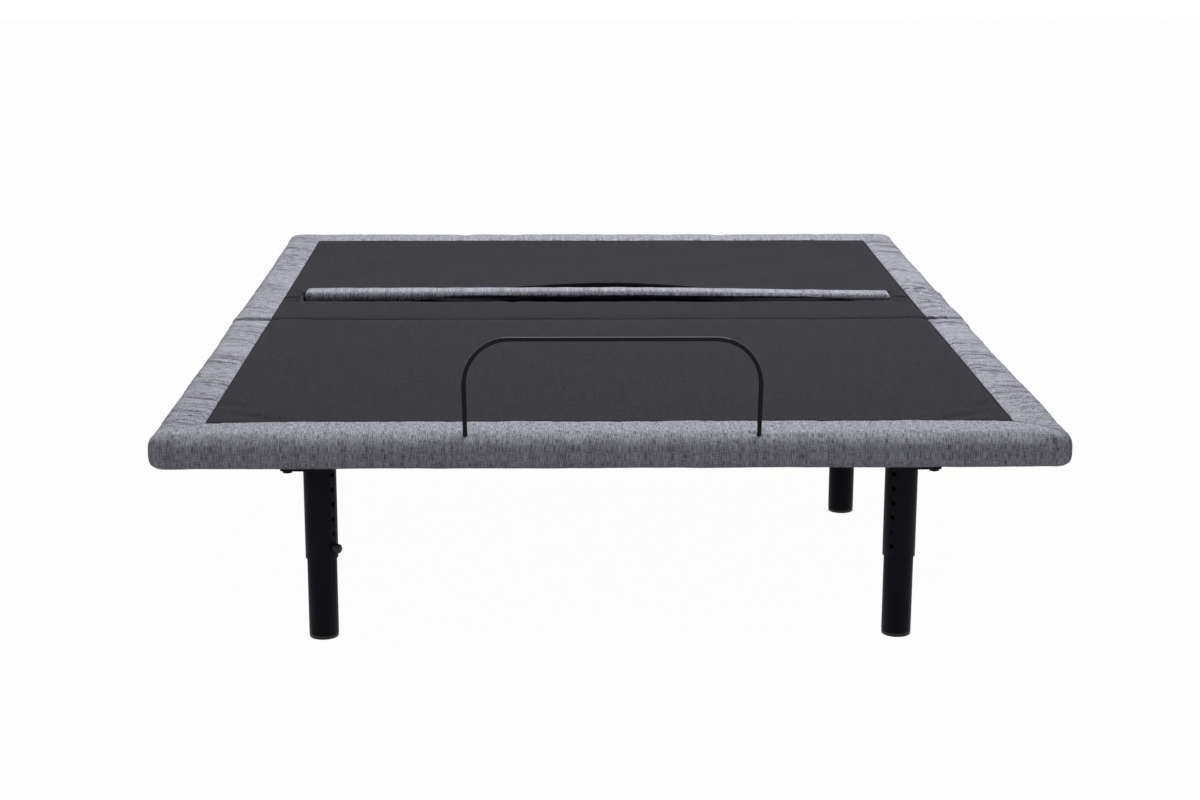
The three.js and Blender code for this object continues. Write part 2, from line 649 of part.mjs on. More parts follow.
// The body lies along +Y from its rear eye at the origin, with the motor on its -X side.
function actuatorBody(size, length, rodBack) {
  const eye = strap({ y: 0, z: 0 }, { y: size.gearSpan[0] + 6, z: 0 }, size.eyeR, around(0, size.eyeHalf));
  const round = 5;
  const gearOutline = roundedRect(
    [size.gearSpan[0] + round, size.gearSpan[1] - round], around(0, size.gearTall - round), 6);
  const soft = {
    bevelEnabled: true, bevelThickness: round, bevelSize: round, bevelSegments: 1, curveSegments: 1,
  };
  const gearbox = push(gearOutline, around(0, size.gearHalf - round), FROM_SIDE, soft);
  const gearMiddle = { y: (size.gearSpan[0] + size.gearSpan[1]) / 2, z: 0 };
  const motorEnd = size.gearHalf + size.motorLength;
  const motor = join(
    barX(gearMiddle, size.motorR, [-motorEnd, -size.gearHalf / 2], 14),
    barX(gearMiddle, size.motorR - 5, [-motorEnd - 8, -motorEnd], 14));
  const tubeEnd = length - size.nose;
  const tube = join(
    barY(size.tubeR, [size.gearSpan[1] - 10, tubeEnd - 12]),
    barY(size.tubeR + 3, [tubeEnd - 12, tubeEnd]));
  const bore = barY(size.rodR + 0.6, [rodBack - 3, tubeEnd + 1]);
  const pinHole = barX({ y: 0, z: 0 }, size.pinR + PIN_GAP, around(0, size.eyeHalf + 1));
  return cut(join(eye, gearbox, motor, tube), bore, pinHole);
}

// The rod ends in a fork whose pin slides in the horn's slot.
function actuatorRod(size, length, rodBack) {
  const forkIn = size.hornHalf + 1.5;
  const forkOut = forkIn + 7;
  const throat = length - size.fork;
  const ear = (face) => strap(
    { y: throat - 5, z: 0 }, { y: length, z: 0 }, size.pinR + 6,
    ordered(face * forkIn, face * forkOut));
  const neck = box(around(0, forkOut), [throat - 14, throat], around(0, size.pinR + 6));
  return join(
    barY(size.rodR, [rodBack, throat - 13]),
    neck, bothSides(ear),
    barX({ y: length, z: 0 }, size.pinR, around(0, forkOut + 2)));
}

function addActuator(actuator) {
  const { name, x, rear, axis, travel, hornR, hornRest, size } = actuator;
  const tip = hanging(axis, hornR, hornRest);
  const length = distance(rear, tip);
  const stroke = distance(rear, hanging(axis, hornR, hornRest + travel)) - length;
  const rodBack = length - size.nose - size.hold - stroke;

  const place = new THREE.Group();
  const towardsHead = tip.y > rear.y;
  const lean = towardsHead
    ? Math.atan2(tip.z - rear.z, tip.y - rear.y)
    : Math.atan2(rear.z - tip.z, rear.y - tip.y);
  place.position.set(x, rear.y, rear.z);
  place.rotation.set(lean, 0, towardsHead ? 0 : Math.PI);
  bed.add(place);
  piece(`${name}_body`, actuatorBody(size, length, rodBack), 'blackPlastic', place);
  piece(`${name}_rod`, actuatorRod(size, length, rodBack), 'zinc', place);

  const reach = size.eyeHalf + 1 + LUG_THICK + GAP;
  piece(`${name}_pin`, pinWithHeads(rear, size.pinR, around(x, reach), size.pinR + 3, 3), 'zinc');
}

// ---------------------------------------------------------------------------------------------------
// Legs: a drilled sleeve under the rail, a sliding tube inside it and a hand screw
// ---------------------------------------------------------------------------------------------------

// Each half of the frame stands on three legs. turn is the direction of the drilled rows and of the screw,
// in degrees from -Y towards +X.
const LEGS = [
  { name: 'foot_left', side: -1, y: -950, turn: 54 },
  { name: 'foot_right', side: 1, y: -950, turn: 144 },
  { name: 'middle_left', side: -1, y: 178, turn: 45 },
  { name: 'middle_right', side: 1, y: -215, turn: -45 },
  { name: 'head_left', side: -1, y: 950, turn: 135 },
  { name: 'head_right', side: 1, y: 950, turn: -135 },
];

// A drill along Y, at one height, from one y to another
function drill(r, [y0, y1], height) {
  const geometry = new THREE.CylinderGeometry(r, r, y1 - y0, 6);
  geometry.translate(0, (y0 + y1) / 2, height);
  return solidOf(geometry);
}

// The tubes are drawn with their holes along Y, in the middle of a facet, and then turned about Z.
function turnedTube(solid, turn) {
  return solidOf(geometryOf(solid).rotateZ(THREE.MathUtils.degToRad(turn)));
}

function legProfile(profile) {
  const halfFacet = 180 / LEG_SIDES;
  return turnedTube(turned(profile, LEG_SIDES), halfFacet);
}

function legSleeve(side, turn) {
  const inside = SLEEVE_R - TUBE_WALL;
  const wall = legProfile([
    [inside, SLEEVE_LOW], [SLEEVE_R, SLEEVE_LOW], [SLEEVE_R, SLEEVE_HIGH],
    [inside, SLEEVE_HIGH], [inside, SLEEVE_LOW]]);
  const holes = Array.from({ length: HOLE_COUNT }, (_, i) => drill(
    HOLE_R, around(0, SLEEVE_R + 5), FIRST_HOLE + i * HOLE_PITCH));
  const plateTop = RAIL_BOTTOM - GAP;
  const plateThick = 5;
  const plateOutline = roundedRect(ordered(-side * PLATE_INNER, side * (RAIL.outer - LEG_X)), around(0, 32), 8);
  const plate = push(plateOutline, [plateTop - plateThick, plateTop], FROM_ABOVE, { curveSegments: 1 });
  const throat = barZ([0, 0], inside + 1, [SLEEVE_LOW, SLEEVE_HIGH], LEG_SIDES);
  return join(cut(plate, throat), turnedTube(cut(wall, holes), turn));
}

function legTube(turn) {
  const inside = TUBE_R - TUBE_WALL;
  const cup = legProfile([
    [0, 0], [TUBE_R - 1.5, 0], [TUBE_R, 2], [TUBE_R, TUBE_TOP], [inside, TUBE_TOP], [inside, 8], [0, 8]]);
  return turnedTube(cut(cup, drill(BOLT_R, [-TUBE_R - 5, 0], FIRST_HOLE)), turn);
}

// Turned about +Z with the screw's tip at the bottom, then laid down along the drilled row
function handScrew(turn) {
  const tip = TUBE_R + GAP;
  const seat = SLEEVE_R + GAP;
  const profile = [[0, tip], [4, tip], [4, seat], [6.5, seat], [8.2, seat + 4], [8, seat + 9],
    [5.5, seat + 12], [0, seat + 13]];
  const geometry = geometryOf(turned(profile, 8));
  geometry.rotateX(Math.PI / 2);
  geometry.rotateZ(THREE.MathUtils.degToRad(turn));
  geometry.translate(0, 0, FIRST_HOLE);
  return solidOf(geometry);
}

function addLegs() {
  for (const { name, side, y, turn } of LEGS) {
    const place = new THREE.Group();
    place.position.set(side * LEG_X, y, 0);
    bed.add(place);
    piece(`${name}_leg_sleeve`, legSleeve(side, turn), 'blackSteel', place);
    piece(`${name}_leg_tube`, legTube(turn), 'blackSteel', place);
    piece(`${name}_leg_screw`, handScrew(turn), 'blackPlastic', place);
  }
}

// ---------------------------------------------------------------------------------------------------
// Control box and retainer bar
// ---------------------------------------------------------------------------------------------------

function addControlBox() {
  const length = { x: [160, 320], y: [14, 156] };
  const top = RAIL_BOTTOM - GAP;
  const round = 4;
  const outline = roundedRect(
    [length.x[0] + round, length.x[1] - round], [length.y[0] + round, length.y[1] - round], 8);
  const soft = {
    bevelEnabled: true, bevelThickness: round, bevelSize: round, bevelSegments: 1, curveSegments: 2,
  };
  const casing = push(outline, [top - 38 + round, top - round], FROM_ABOVE, soft);
  const sockets = [0, 1, 2, 3].map((i) => box(
    [length.x[0] - 1, length.x[0] + 12], around(40 + i * 28, 8), around(top - 18, 6)));
  piece('control_box', cut(casing, sockets), 'blackPlastic');
}

// The path of a bent rod, given by the points where its straight runs and bends are divided
class BentPath extends THREE.Curve {
  constructor(stations) {
    super();
    this.stations = stations;
  }

  getPoint(t) {
    const place = THREE.MathUtils.clamp(t, 0, 1) * (this.stations.length - 1);
    const index = Math.min(Math.floor(place), this.stations.length - 2);
    return this.stations[index].clone().lerp(this.stations[index + 1], place - index);
  }

  getUtoTmapping(u) {
    return u;
  }
}

function addRetainerBar() {
  const { halfWidth, rodR, bendR, top, bottom } = RETAINER;
  const y = -RIM_MID;
  const bendSteps = 8;
  const bend = (side, startAngle, endAngle) => Array.from({ length: bendSteps + 1 }, (_, i) => {
    const angle = THREE.MathUtils.lerp(startAngle, endAngle, i / bendSteps);
    const middleX = side * (halfWidth - bendR);
    return new THREE.Vector3(middleX + bendR * Math.cos(angle), y, top - bendR + bendR * Math.sin(angle));
  });
  const path = new BentPath([
    new THREE.Vector3(-halfWidth, y, bottom),
    ...bend(-1, Math.PI, Math.PI / 2),
    ...bend(1, Math.PI / 2, 0),
    new THREE.Vector3(halfWidth, y, bottom),
  ]);
  const section = new THREE.Shape();
  section.absarc(0, 0, rodR, 0, Math.PI * 2);
  const geometry = new THREE.ExtrudeGeometry(
    section, { steps: path.stations.length - 1, extrudePath: path, curveSegments: 4 });
  piece('retainer_bar', solidOf(geometry), 'blackSteel');
}

addDeck();
addHingeBolts();
addBaseFrame();
addLiftingFrames();
addStays();
addLumbarLift();
[HEAD_ACTUATOR, FOOT_ACTUATOR, LUMBAR_ACTUATOR].forEach(addActuator);
addLegs();
addControlBox();
addRetainerBar();

export default bed;
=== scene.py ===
# %% [markdown]
# # An adjustable bed base
#
# The bed is four hinged boards on a steel frame with six drilled legs. Three actuators and a pair of
# stays move them. The working parts come from the CAD model, which is loaded here as a fixed frame.
# This lesson gives them their finishes and makes what a CAD model does badly: the padded linen border,
# the stretched black cloth, the lumbar bar's cover and the smooth round parts of the legs.

# %% Load the frame
import math
from functools import partial

import bmesh
import bpy
import numpy as np
from mathutils import Matrix, Vector


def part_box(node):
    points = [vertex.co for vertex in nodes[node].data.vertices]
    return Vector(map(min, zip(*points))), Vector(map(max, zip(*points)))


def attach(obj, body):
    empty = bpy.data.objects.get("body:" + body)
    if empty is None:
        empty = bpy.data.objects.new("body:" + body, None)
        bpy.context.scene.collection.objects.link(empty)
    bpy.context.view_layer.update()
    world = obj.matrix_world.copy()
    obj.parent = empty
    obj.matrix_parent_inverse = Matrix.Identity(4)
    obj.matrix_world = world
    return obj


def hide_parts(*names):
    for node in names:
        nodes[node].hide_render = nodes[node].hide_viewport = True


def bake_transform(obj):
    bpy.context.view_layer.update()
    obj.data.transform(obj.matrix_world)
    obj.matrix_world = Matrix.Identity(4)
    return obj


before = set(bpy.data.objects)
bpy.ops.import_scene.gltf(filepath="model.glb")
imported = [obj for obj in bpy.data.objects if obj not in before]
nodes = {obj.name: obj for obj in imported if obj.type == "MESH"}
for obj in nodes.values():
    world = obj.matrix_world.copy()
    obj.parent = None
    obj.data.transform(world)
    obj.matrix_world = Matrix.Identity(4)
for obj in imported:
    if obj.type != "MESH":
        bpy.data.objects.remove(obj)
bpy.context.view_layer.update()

# %% Sizes of the deck
HALF_WIDTH, HALF_LENGTH = 0.760, 1.015
DECK_TOP, BORDER_LOW = 0.362, 0.306
SEAM_Y, HIP_Y, KNEE_Y = -0.030, 0.170, -0.490  # where the sections meet
SIDE_BORDER, FOOT_BORDER, HEAD_BORDER = 0.079, 0.106, 0.089
INNER_X = HALF_WIDTH - SIDE_BORDER  # where the linen meets the black cloth on each side
ACROSS, ALONG = Vector((1, 0, 0)), Vector((0, 1, 0))
SLOT_HALF, SLOT_FRONT, SLOT_BACK = 0.648, 0.169, 0.258  # the lumbar bar's slot
FOLD_X = 0.727  # where each corner's fold runs down the end face
bar_low, bar_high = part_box("lumbar_pad")
BAR_RISE = 0.0115  # how far the bar's underside is drawn up in the middle

# %% [markdown]
# ## Camera and studio
#
# A long lens a little above the deck keeps the sides of the bed from flaring. The bed stands in an even
# white studio: one large soft lamp overhead and a pale world. World and floor are drawn white for the
# camera and in reflections only, and the floor still takes a soft shadow, so no extra light reaches the
# bed for the sake of it.

# %% Camera
LENS = 65.2
CAMERA_PLACE = (-0.096, -4.455, 1.26)
LOOK_DOWN, LOOK_RIGHT, ROLL = 13.63, 1.25, 0.15


def turned_about(axis, degrees):
    return Matrix.Rotation(math.radians(degrees), 4, axis)


bpy.ops.object.select_all(action="DESELECT")
bpy.ops.object.camera_add()
camera = bpy.context.object
camera.data.lens = LENS
camera.data.clip_start = 0.05
camera.matrix_world = (
    Matrix.Translation(CAMERA_PLACE)
    @ turned_about("Z", -LOOK_RIGHT)
    @ turned_about("X", 90 - LOOK_DOWN)
    @ turned_about("Z", ROLL)
)
bpy.context.scene.camera = camera
bpy.context.scene.view_settings.view_transform = "Standard"

# %% Node helpers
def add_node(tree, kind, **settings):
    """A node of that kind, with its settings and its unlinked inputs filled in by name."""
    node = tree.nodes.new("ShaderNode" + kind)
    for name, value in settings.items():
        if name in node.inputs:
            node.inputs[name].default_value = value
        else:
            setattr(node, name, value)
    return node


def wire(tree, *pairs):
    for source, target in pairs:
        tree.links.new(source, target)


def figure(tree, operation, *values, clamp=False):
    """The output of a Math node. Each value is a number or another node's output."""
    node = add_node(tree, "Math", operation=operation, use_clamp=clamp)
    for socket, value in zip(node.inputs, values):
        if isinstance(value, (int, float)):
            socket.default_value = value
        else:
            wire(tree, (value, socket))
    return node.outputs[0]


def new_finish(name, roughness, metallic=0.0):
    """A new material, its node tree and its main shader."""
    material = bpy.data.materials.new(name)
    material.use_nodes = True
    shader = material.node_tree.nodes["Principled BSDF"]
    shader.inputs["Roughness"].default_value = roughness
    shader.inputs["Metallic"].default_value = metallic
    return material, material.node_tree, shader


def show_instead(tree, lit, shown, share, output):
    """Draws one shader in the place of another, by a share, for the camera and in reflections only."""
    path = add_node(tree, "LightPath")
    direct = 0.0
    for ray in ("Is Camera Ray", "Is Glossy Ray", "Is Transmission Ray"):
        direct = figure(tree, "MAXIMUM", direct, path.outputs[ray])
    mix = add_node(tree, "MixShader")
    wire(tree, (figure(tree, "MULTIPLY", direct, share), mix.inputs[0]),
         (lit.outputs[0], mix.inputs[1]), (shown.outputs[0], mix.inputs[2]),
         (mix.outputs[0], tree.nodes[output].inputs["Surface"]))


# %% Studio light
WHITE = (1, 1, 1, 1)
WORLD_LEVEL = 0.28
LAMP_WATTS, LAMP_SIZE = 96, 2.2
LAMP_PLACE, LAMP_TILT = (0.32, 0.40, 3.05), (-9, 7, 0)

world = bpy.data.worlds.new("studio_world")
world.use_nodes = True
bpy.context.scene.world = world
sky = world.node_tree.nodes["Background"]
sky.inputs["Color"].default_value = WHITE
sky.inputs["Strength"].default_value = WORLD_LEVEL
backdrop = add_node(world.node_tree, "Background", Color=WHITE)
show_instead(world.node_tree, sky, backdrop, 1.0, "World Output")

bpy.ops.object.light_add(type="AREA", location=LAMP_PLACE)
lamp = bpy.context.object
lamp.data.shape = "SQUARE"
lamp.data.size = LAMP_SIZE
lamp.data.energy = LAMP_WATTS
lamp.rotation_euler = [math.radians(angle) for angle in LAMP_TILT]

# %% Floor
FLOOR_SIZE, FLOOR_GREY = 30, 0.46
FLOOR_WHITE = 0.975  # share of the floor's look that is plain white where it is drawn directly

bpy.ops.mesh.primitive_plane_add(size=FLOOR_SIZE, location=(0, 0, 0))
floor = bpy.context.object
floor.name = "studio_floor"
paint, tree, shader = new_finish("studio_floor", 0.9)
shader.inputs["Base Color"].default_value = (FLOOR_GREY, FLOOR_GREY, FLOOR_GREY, 1)
show_instead(tree, shader, add_node(tree, "Emission", Color=WHITE), FLOOR_WHITE, "Material Output")
floor.data.materials.append(paint)

# %% [markdown]
# ## Finishes
#
# Each finish is a node material. What two finishes share is a node group: `Weave` gives the uneven threads
# of a cloth, `Wrinkles` the fine creases of gathered cloth and `Fold` the groove along a sewn fold or edge,
# both used as bump and as painted shade, and `Grit` the fine tooth of a coating. Cloth patterns read a
# coordinate that is stored on the mesh, so they stay on the cloth when it bends.

# %% Group helpers
def new_group(name, inputs, outputs):
    """An empty node group with named sockets: its tree, its input node and its output node."""
    tree = bpy.data.node_groups.new(name, "ShaderNodeTree")
    for label, value in inputs.items():
        kind = "NodeSocketVector" if value is None else "NodeSocketFloat"
        socket = tree.interface.new_socket(label, in_out="INPUT", socket_type=kind)
        if value is not None:
            socket.default_value = value
    for label in outputs:
        tree.interface.new_socket(label, in_out="OUTPUT", socket_type="NodeSocketFloat")
    return tree, tree.nodes.new("NodeGroupInput"), tree.nodes.new("NodeGroupOutput")


def split_place(tree, place):
    """The three numbers of a place."""
    axes = add_node(tree, "SeparateXYZ")
    wire(tree, (place, axes.inputs[0]))
    return axes.outputs


def streaks(tree, across, along, width, length, detail=2.0):
    """Noise drawn out into streaks: narrow in one direction, long in the other."""
    place = add_node(tree, "CombineXYZ")
    wire(tree, (figure(tree, "DIVIDE", across, width), place.inputs[0]))
    wire(tree, (figure(tree, "DIVIDE", along, length), place.inputs[1]))
    noise = add_node(tree, "TexNoise", noise_dimensions="2D", Scale=1.0, Detail=detail)
    wire(tree, (place.outputs[0], noise.inputs["Vector"]))
    return noise.outputs["Fac"]


def map_range(tree, value, **limits):
    """The value, taken from its old limits to new ones. From_Min=0.5 sets the socket From Min."""
    sockets = {name.replace("_", " "): limit for name, limit in limits.items()}
    node = add_node(tree, "MapRange", **sockets)
    wire(tree, (value, node.inputs["Value"]))
    return node.outputs[0]


# %% Group: woven threads
BAND_WIDE, BAND_LONG = 0.007, 0.16

weave_tree, weave_in, weave_out = new_group(
    "Weave", {"Place": None, "Thread": 0.001, "Slub": 0.015}, ["Mottle", "Height"])
across, along, _ = split_place(weave_tree, weave_in.outputs["Place"])
thread, slub = weave_in.outputs["Thread"], weave_in.outputs["Slub"]
yarn = figure(weave_tree, "MULTIPLY", thread, 1.5)
layers = [  # warp, weft, single threads and broad bands, each with its share
    (streaks(weave_tree, across, along, yarn, slub), 0.44),
    (streaks(weave_tree, along, across, yarn, slub), 0.25),
    (streaks(weave_tree, across, along, thread, thread, 1.0), 0.22),
    (streaks(weave_tree, across, along, BAND_WIDE, BAND_LONG, 1.0), 0.11),
]
mottle = 0.0
for layer, share in layers:
    mottle = figure(weave_tree, "MULTIPLY_ADD", layer, share, mottle)
turn = [figure(weave_tree, "DIVIDE", figure(weave_tree, "MULTIPLY", side, math.pi), thread)
        for side in (across, along)]
over = figure(weave_tree, "MULTIPLY", *(figure(weave_tree, "SINE", angle) for angle in turn))
height = figure(weave_tree, "MULTIPLY_ADD", over, 0.3, mottle)
wire(weave_tree, (mottle, weave_out.inputs["Mottle"]), (height, weave_out.inputs["Height"]))

# %% Group: fine wrinkles across gathered cloth, as bump and painted shade
WRINKLE, CLUSTER = (0.011, 0.11), (0.13, 0.4)  # how wide and how long
SLANT = 0.35

wrinkle_tree, wrinkle_in, wrinkle_out = new_group("Wrinkles", {"Place": None}, ["Dip"])
along, across, gathered = split_place(wrinkle_tree, wrinkle_in.outputs["Place"])
slanted = figure(wrinkle_tree, "MULTIPLY_ADD", across, SLANT, along)
fine = streaks(wrinkle_tree, slanted, across, *WRINKLE)
broad = streaks(wrinkle_tree, slanted, across, *CLUSTER, 1.0)
# This mask is both the wrinkles' bump and the painted shade in them
dip_and_shade = figure(wrinkle_tree, "MULTIPLY", map_range(wrinkle_tree, fine, From_Min=0.50, From_Max=0.72),
             map_range(wrinkle_tree, broad, From_Min=0.42, From_Max=0.62))
dip_and_shade = figure(wrinkle_tree, "MULTIPLY", dip_and_shade, gathered)
wire(wrinkle_tree, (dip_and_shade, wrinkle_out.inputs["Dip"]))

# %% Group: line along a sewn fold, as groove and painted shade
fold_tree, fold_in, fold_out = new_group(
    "Fold", {"Place": None, "Start": None, "Stop": None, "Width": 0.003}, ["Groove"])


def vector_step(tree, operation, *sources, out=0):
    node = add_node(tree, "VectorMath", operation=operation)
    wire(tree, *zip(sources, node.inputs))
    return node.outputs[out]


run = vector_step(fold_tree, "SUBTRACT", fold_in.outputs["Stop"], fold_in.outputs["Start"])
reach = vector_step(fold_tree, "SUBTRACT", fold_in.outputs["Place"], fold_in.outputs["Start"])
along_run = vector_step(fold_tree, "DOT_PRODUCT", reach, run, out="Value")
run_squared = vector_step(fold_tree, "DOT_PRODUCT", run, run, out="Value")
part = figure(fold_tree, "DIVIDE", along_run, run_squared, clamp=True)
nearest = add_node(fold_tree, "VectorMath", operation="SCALE")
wire(fold_tree, (run, nearest.inputs[0]), (part, nearest.inputs["Scale"]))
away = vector_step(fold_tree, "DISTANCE", reach, nearest.outputs[0], out="Value")
share = figure(fold_tree, "DIVIDE", away, fold_in.outputs["Width"])
# Strongest on the line: the groove's depth and the painted shade in it
groove = figure(fold_tree, "SUBTRACT", 1.0, share, clamp=True)
wire(fold_tree, (figure(fold_tree, "POWER", groove, 1.5), fold_out.inputs["Groove"]))

# %% Group: fine grit of a coating
grit_tree, grit_in, grit_out = new_group("Grit", {"Place": None, "Size": 0.0008}, ["Grain", "Patch"])
shrunk = add_node(grit_tree, "VectorMath", operation="SCALE")
wire(grit_tree, (grit_in.outputs["Place"], shrunk.inputs[0]),
     (figure(grit_tree, "DIVIDE", 1.0, grit_in.outputs["Size"]), shrunk.inputs["Scale"]))
grain = add_node(grit_tree, "TexNoise", Scale=1.0, Detail=2.0)
patch = add_node(grit_tree, "TexNoise", Scale=14.0, Detail=3.0)
wire(grit_tree, (shrunk.outputs[0], grain.inputs["Vector"]),
     (grit_in.outputs["Place"], patch.inputs["Vector"]),
     (grain.outputs["Fac"], grit_out.inputs["Grain"]), (patch.outputs["Fac"], grit_out.inputs["Patch"]))


# %% Material helpers
def blend_colours(tree, shader, mask, low, high, dark, light):
    """Base Color from dark to light as mask goes from low to high."""
    ramp = add_node(tree, "ValToRGB")
    for stop, place, colour in zip(ramp.color_ramp.elements, (low, high), (dark, light)):
        stop.position = place
        stop.color = (*colour, 1)
    wire(tree, (mask, ramp.inputs["Fac"]), (ramp.outputs["Color"], shader.inputs["Base Color"]))


def raise_by(tree, shader, height, distance):
    bump = add_node(tree, "Bump", Distance=distance, Strength=1.0)
    wire(tree, (height, bump.inputs["Height"]), (bump.outputs["Normal"], shader.inputs["Normal"]))


def vary_roughness(tree, shader, mask, low, high):
    wire(tree, (map_range(tree, mask, To_Min=low, To_Max=high), shader.inputs["Roughness"]))


# %% Lines where cloth is folded or shaded, drawn as grooves and painted shade
FOOT_END = -0.9  # the corners at the foot end are beyond this


def linen_shade_lines():
    """Start, stop, width and strength of each line of painted shade on the right half of the linen.

    They are two folded corners, the middle seam and the lower edge of the lumbar bar, where shade falls.
    Each line is also pressed in as a groove."""
    for end, border in ((-HALF_LENGTH, FOOT_BORDER), (HALF_LENGTH, HEAD_BORDER)):
        towards = math.copysign(1, end)
        stops = [(INNER_X, end - towards * border, DECK_TOP),
                 (FOLD_X, end - towards * 0.012, DECK_TOP - 0.002),
                 (FOLD_X + 0.003, end, DECK_TOP - 0.018),
                 (FOLD_X + 0.001, end, BORDER_LOW)]
        yield from zip(stops, stops[1:], (0.0045, 0.006, 0.008), (1.0, 0.4, 0.3))
    yield (INNER_X, SEAM_Y, DECK_TOP), (HALF_WIDTH, SEAM_Y, DECK_TOP), 0.007, 1.0
    yield (HALF_WIDTH, SEAM_Y, DECK_TOP), (HALF_WIDTH, SEAM_Y, BORDER_LOW), 0.007, 1.0
    yield (0, bar_low.y, bar_low.z + BAR_RISE), (bar_high.x, bar_low.y, bar_low.z), 0.022, 0.6


def slot_shade_lines():
    """Painted shade and grooves: two creases from each slot end to the border, and the edge behind the bar.
    """
    yield (0.652, 0.205, DECK_TOP), (INNER_X, 0.195, DECK_TOP), 0.013, 1.0
    yield (0.650, 0.150, DECK_TOP), (INNER_X, 0.158, DECK_TOP), 0.009, 0.8
    yield (0, SLOT_BACK, DECK_TOP + 0.015), (0.26, SLOT_BACK, DECK_TOP + 0.010), 0.011, 1.8


def fold_shade_and_grooves(tree, lines):
    """Painted shade and grooves of all lines, on both sides, as one mask. The left foot corner has none."""
    rest = add_node(tree, "Attribute", attribute_name="rest_place")
    x, y, z = split_place(tree, rest.outputs["Vector"])
    mirrored = add_node(tree, "CombineXYZ")
    wire(tree, *zip((figure(tree, "ABSOLUTE", x), y, z), mirrored.inputs))
    total = 0.0
    for start, stop, width, strength in lines:
        # Each line adds its painted shade and groove, by its strength
        fold = add_node(tree, "Group", node_tree=fold_tree, Start=start, Stop=stop, Width=width)
        wire(tree, (mirrored.outputs[0], fold.inputs["Place"]))
        total = figure(tree, "MAXIMUM", total, figure(tree, "MULTIPLY", fold.outputs["Groove"], strength))
    on_left, at_foot = figure(tree, "LESS_THAN", x, 0.0), figure(tree, "LESS_THAN", y, FOOT_END)
    plain = figure(tree, "MULTIPLY", on_left, at_foot)
    return figure(tree, "MULTIPLY", total, figure(tree, "SUBTRACT", 1.0, plain))


# %% Materials: linen and black cloth
CLOTH_ROUGH, CLOTH_SHINE, SHEEN_ROUGH = 0.92, 0.05, 0.5


def woven_finish(name, thread, slub, span, dark, light, bump, sheen, folds):
    """A woven cloth. Mottle between the two values of span runs from the dark to the light colour."""
    material, tree, shader = new_finish(name, CLOTH_ROUGH)
    cloth = add_node(tree, "Attribute", attribute_name="cloth_place")
    weave = add_node(tree, "Group", node_tree=weave_tree, Thread=thread, Slub=slub)
    wrinkles = add_node(tree, "Group", node_tree=wrinkle_tree)
    wire(tree, *((cloth.outputs["Vector"], group.inputs["Place"]) for group in (weave, wrinkles)))
    mottle, height = weave.outputs["Mottle"], weave.outputs["Height"]
    # The fold lines and the wrinkles darken the colour as painted shade, and lower the bump
    for mask, painted_shade, deeper in ((fold_shade_and_grooves(tree, folds), 0.26, 3.0), (wrinkles.outputs["Dip"], 0.14, 5.5)):
        mottle = figure(tree, "MULTIPLY_ADD", mask, -painted_shade, mottle)
        height = figure(tree, "MULTIPLY_ADD", mask, -deeper, height)
    blend_colours(tree, shader, mottle, *span, dark, light)
    raise_by(tree, shader, height, bump)
    shader.inputs["Specular IOR Level"].default_value = CLOTH_SHINE
    shader.inputs["Sheen Weight"].default_value = sheen
    shader.inputs["Sheen Roughness"].default_value = SHEEN_ROUGH
    return material


linen = woven_finish(
    "grey_linen", thread=0.0009, slub=0.016, span=(0.37, 0.63),
    dark=(0.082, 0.071, 0.110), light=(0.556, 0.575, 0.630), bump=0.0005, sheen=0.06,
    folds=linen_shade_lines())
charcoal = woven_finish(
    "black_cloth", thread=0.0012, slub=0.020, span=(0.36, 0.64),
    dark=(0.0020, 0.0017, 0.0030), light=(0.0255, 0.0238, 0.0350), bump=0.0003, sheen=0.12,
    folds=slot_shade_lines())


# %% Materials: coated steel, zinc, plastic
def coated_finish(name, dark, light, roughness, size, bump, shine=0.5, metallic=0.0):
    """A fine-toothed coating: size is that of its grains, and bump how far they stand out."""
    material, tree, shader = new_finish(name, roughness[0], metallic)
    shader.inputs["Specular IOR Level"].default_value = shine
    grit = add_node(tree, "Group", node_tree=grit_tree, Size=size)
    wire(tree, (add_node(tree, "TexCoord").outputs["Object"], grit.inputs["Place"]))
    blend_colours(tree, shader, grit.outputs["Patch"], 0.3, 0.7, dark, light)
    vary_roughness(tree, shader, grit.outputs["Patch"], *roughness)
    raise_by(tree, shader, grit.outputs["Grain"], bump)
    return material


black_steel = coated_finish(
    "black_steel", dark=(0.0088, 0.0095, 0.0142), light=(0.0124, 0.0132, 0.0190), roughness=(0.42, 0.52),
    size=0.0009, bump=0.00006, shine=0.05)
satin_black = coated_finish(
    "satin_black", dark=(0.002, 0.002, 0.003), light=(0.003, 0.003, 0.0042), roughness=(0.09, 0.13),
    size=0.0012, bump=0.00001, shine=0.14)
zinc = coated_finish(
    "zinc", dark=(0.42, 0.43, 0.45), light=(0.62, 0.63, 0.64), roughness=(0.28, 0.42),
    size=0.004, bump=0.00002, metallic=1.0)
black_plastic = coated_finish(
    "black_plastic", dark=(0.007, 0.007, 0.008), light=(0.011, 0.011, 0.012), roughness=(0.38, 0.50),
    size=0.0006, bump=0.00003, shine=0.3)


# %% Material: plywood
PLY = 0.003  # two plies, one light and one dark

plywood, tree, shader = new_finish("plywood", 0.65)
x, y, z = split_place(tree, add_node(tree, "TexCoord").outputs["Object"])
grain = streaks(tree, x, y, 0.012, 0.35, 4.0)
plies = figure(tree, "SINE", figure(tree, "MULTIPLY", z, 2 * math.pi / PLY))
wood = figure(tree, "MULTIPLY_ADD", plies, 0.07, grain)
blend_colours(tree, shader, wood, 0.3, 0.72, (0.33, 0.20, 0.105), (0.60, 0.44, 0.27))
vary_roughness(tree, shader, grain, 0.55, 0.75)
raise_by(tree, shader, grain, 0.0002)

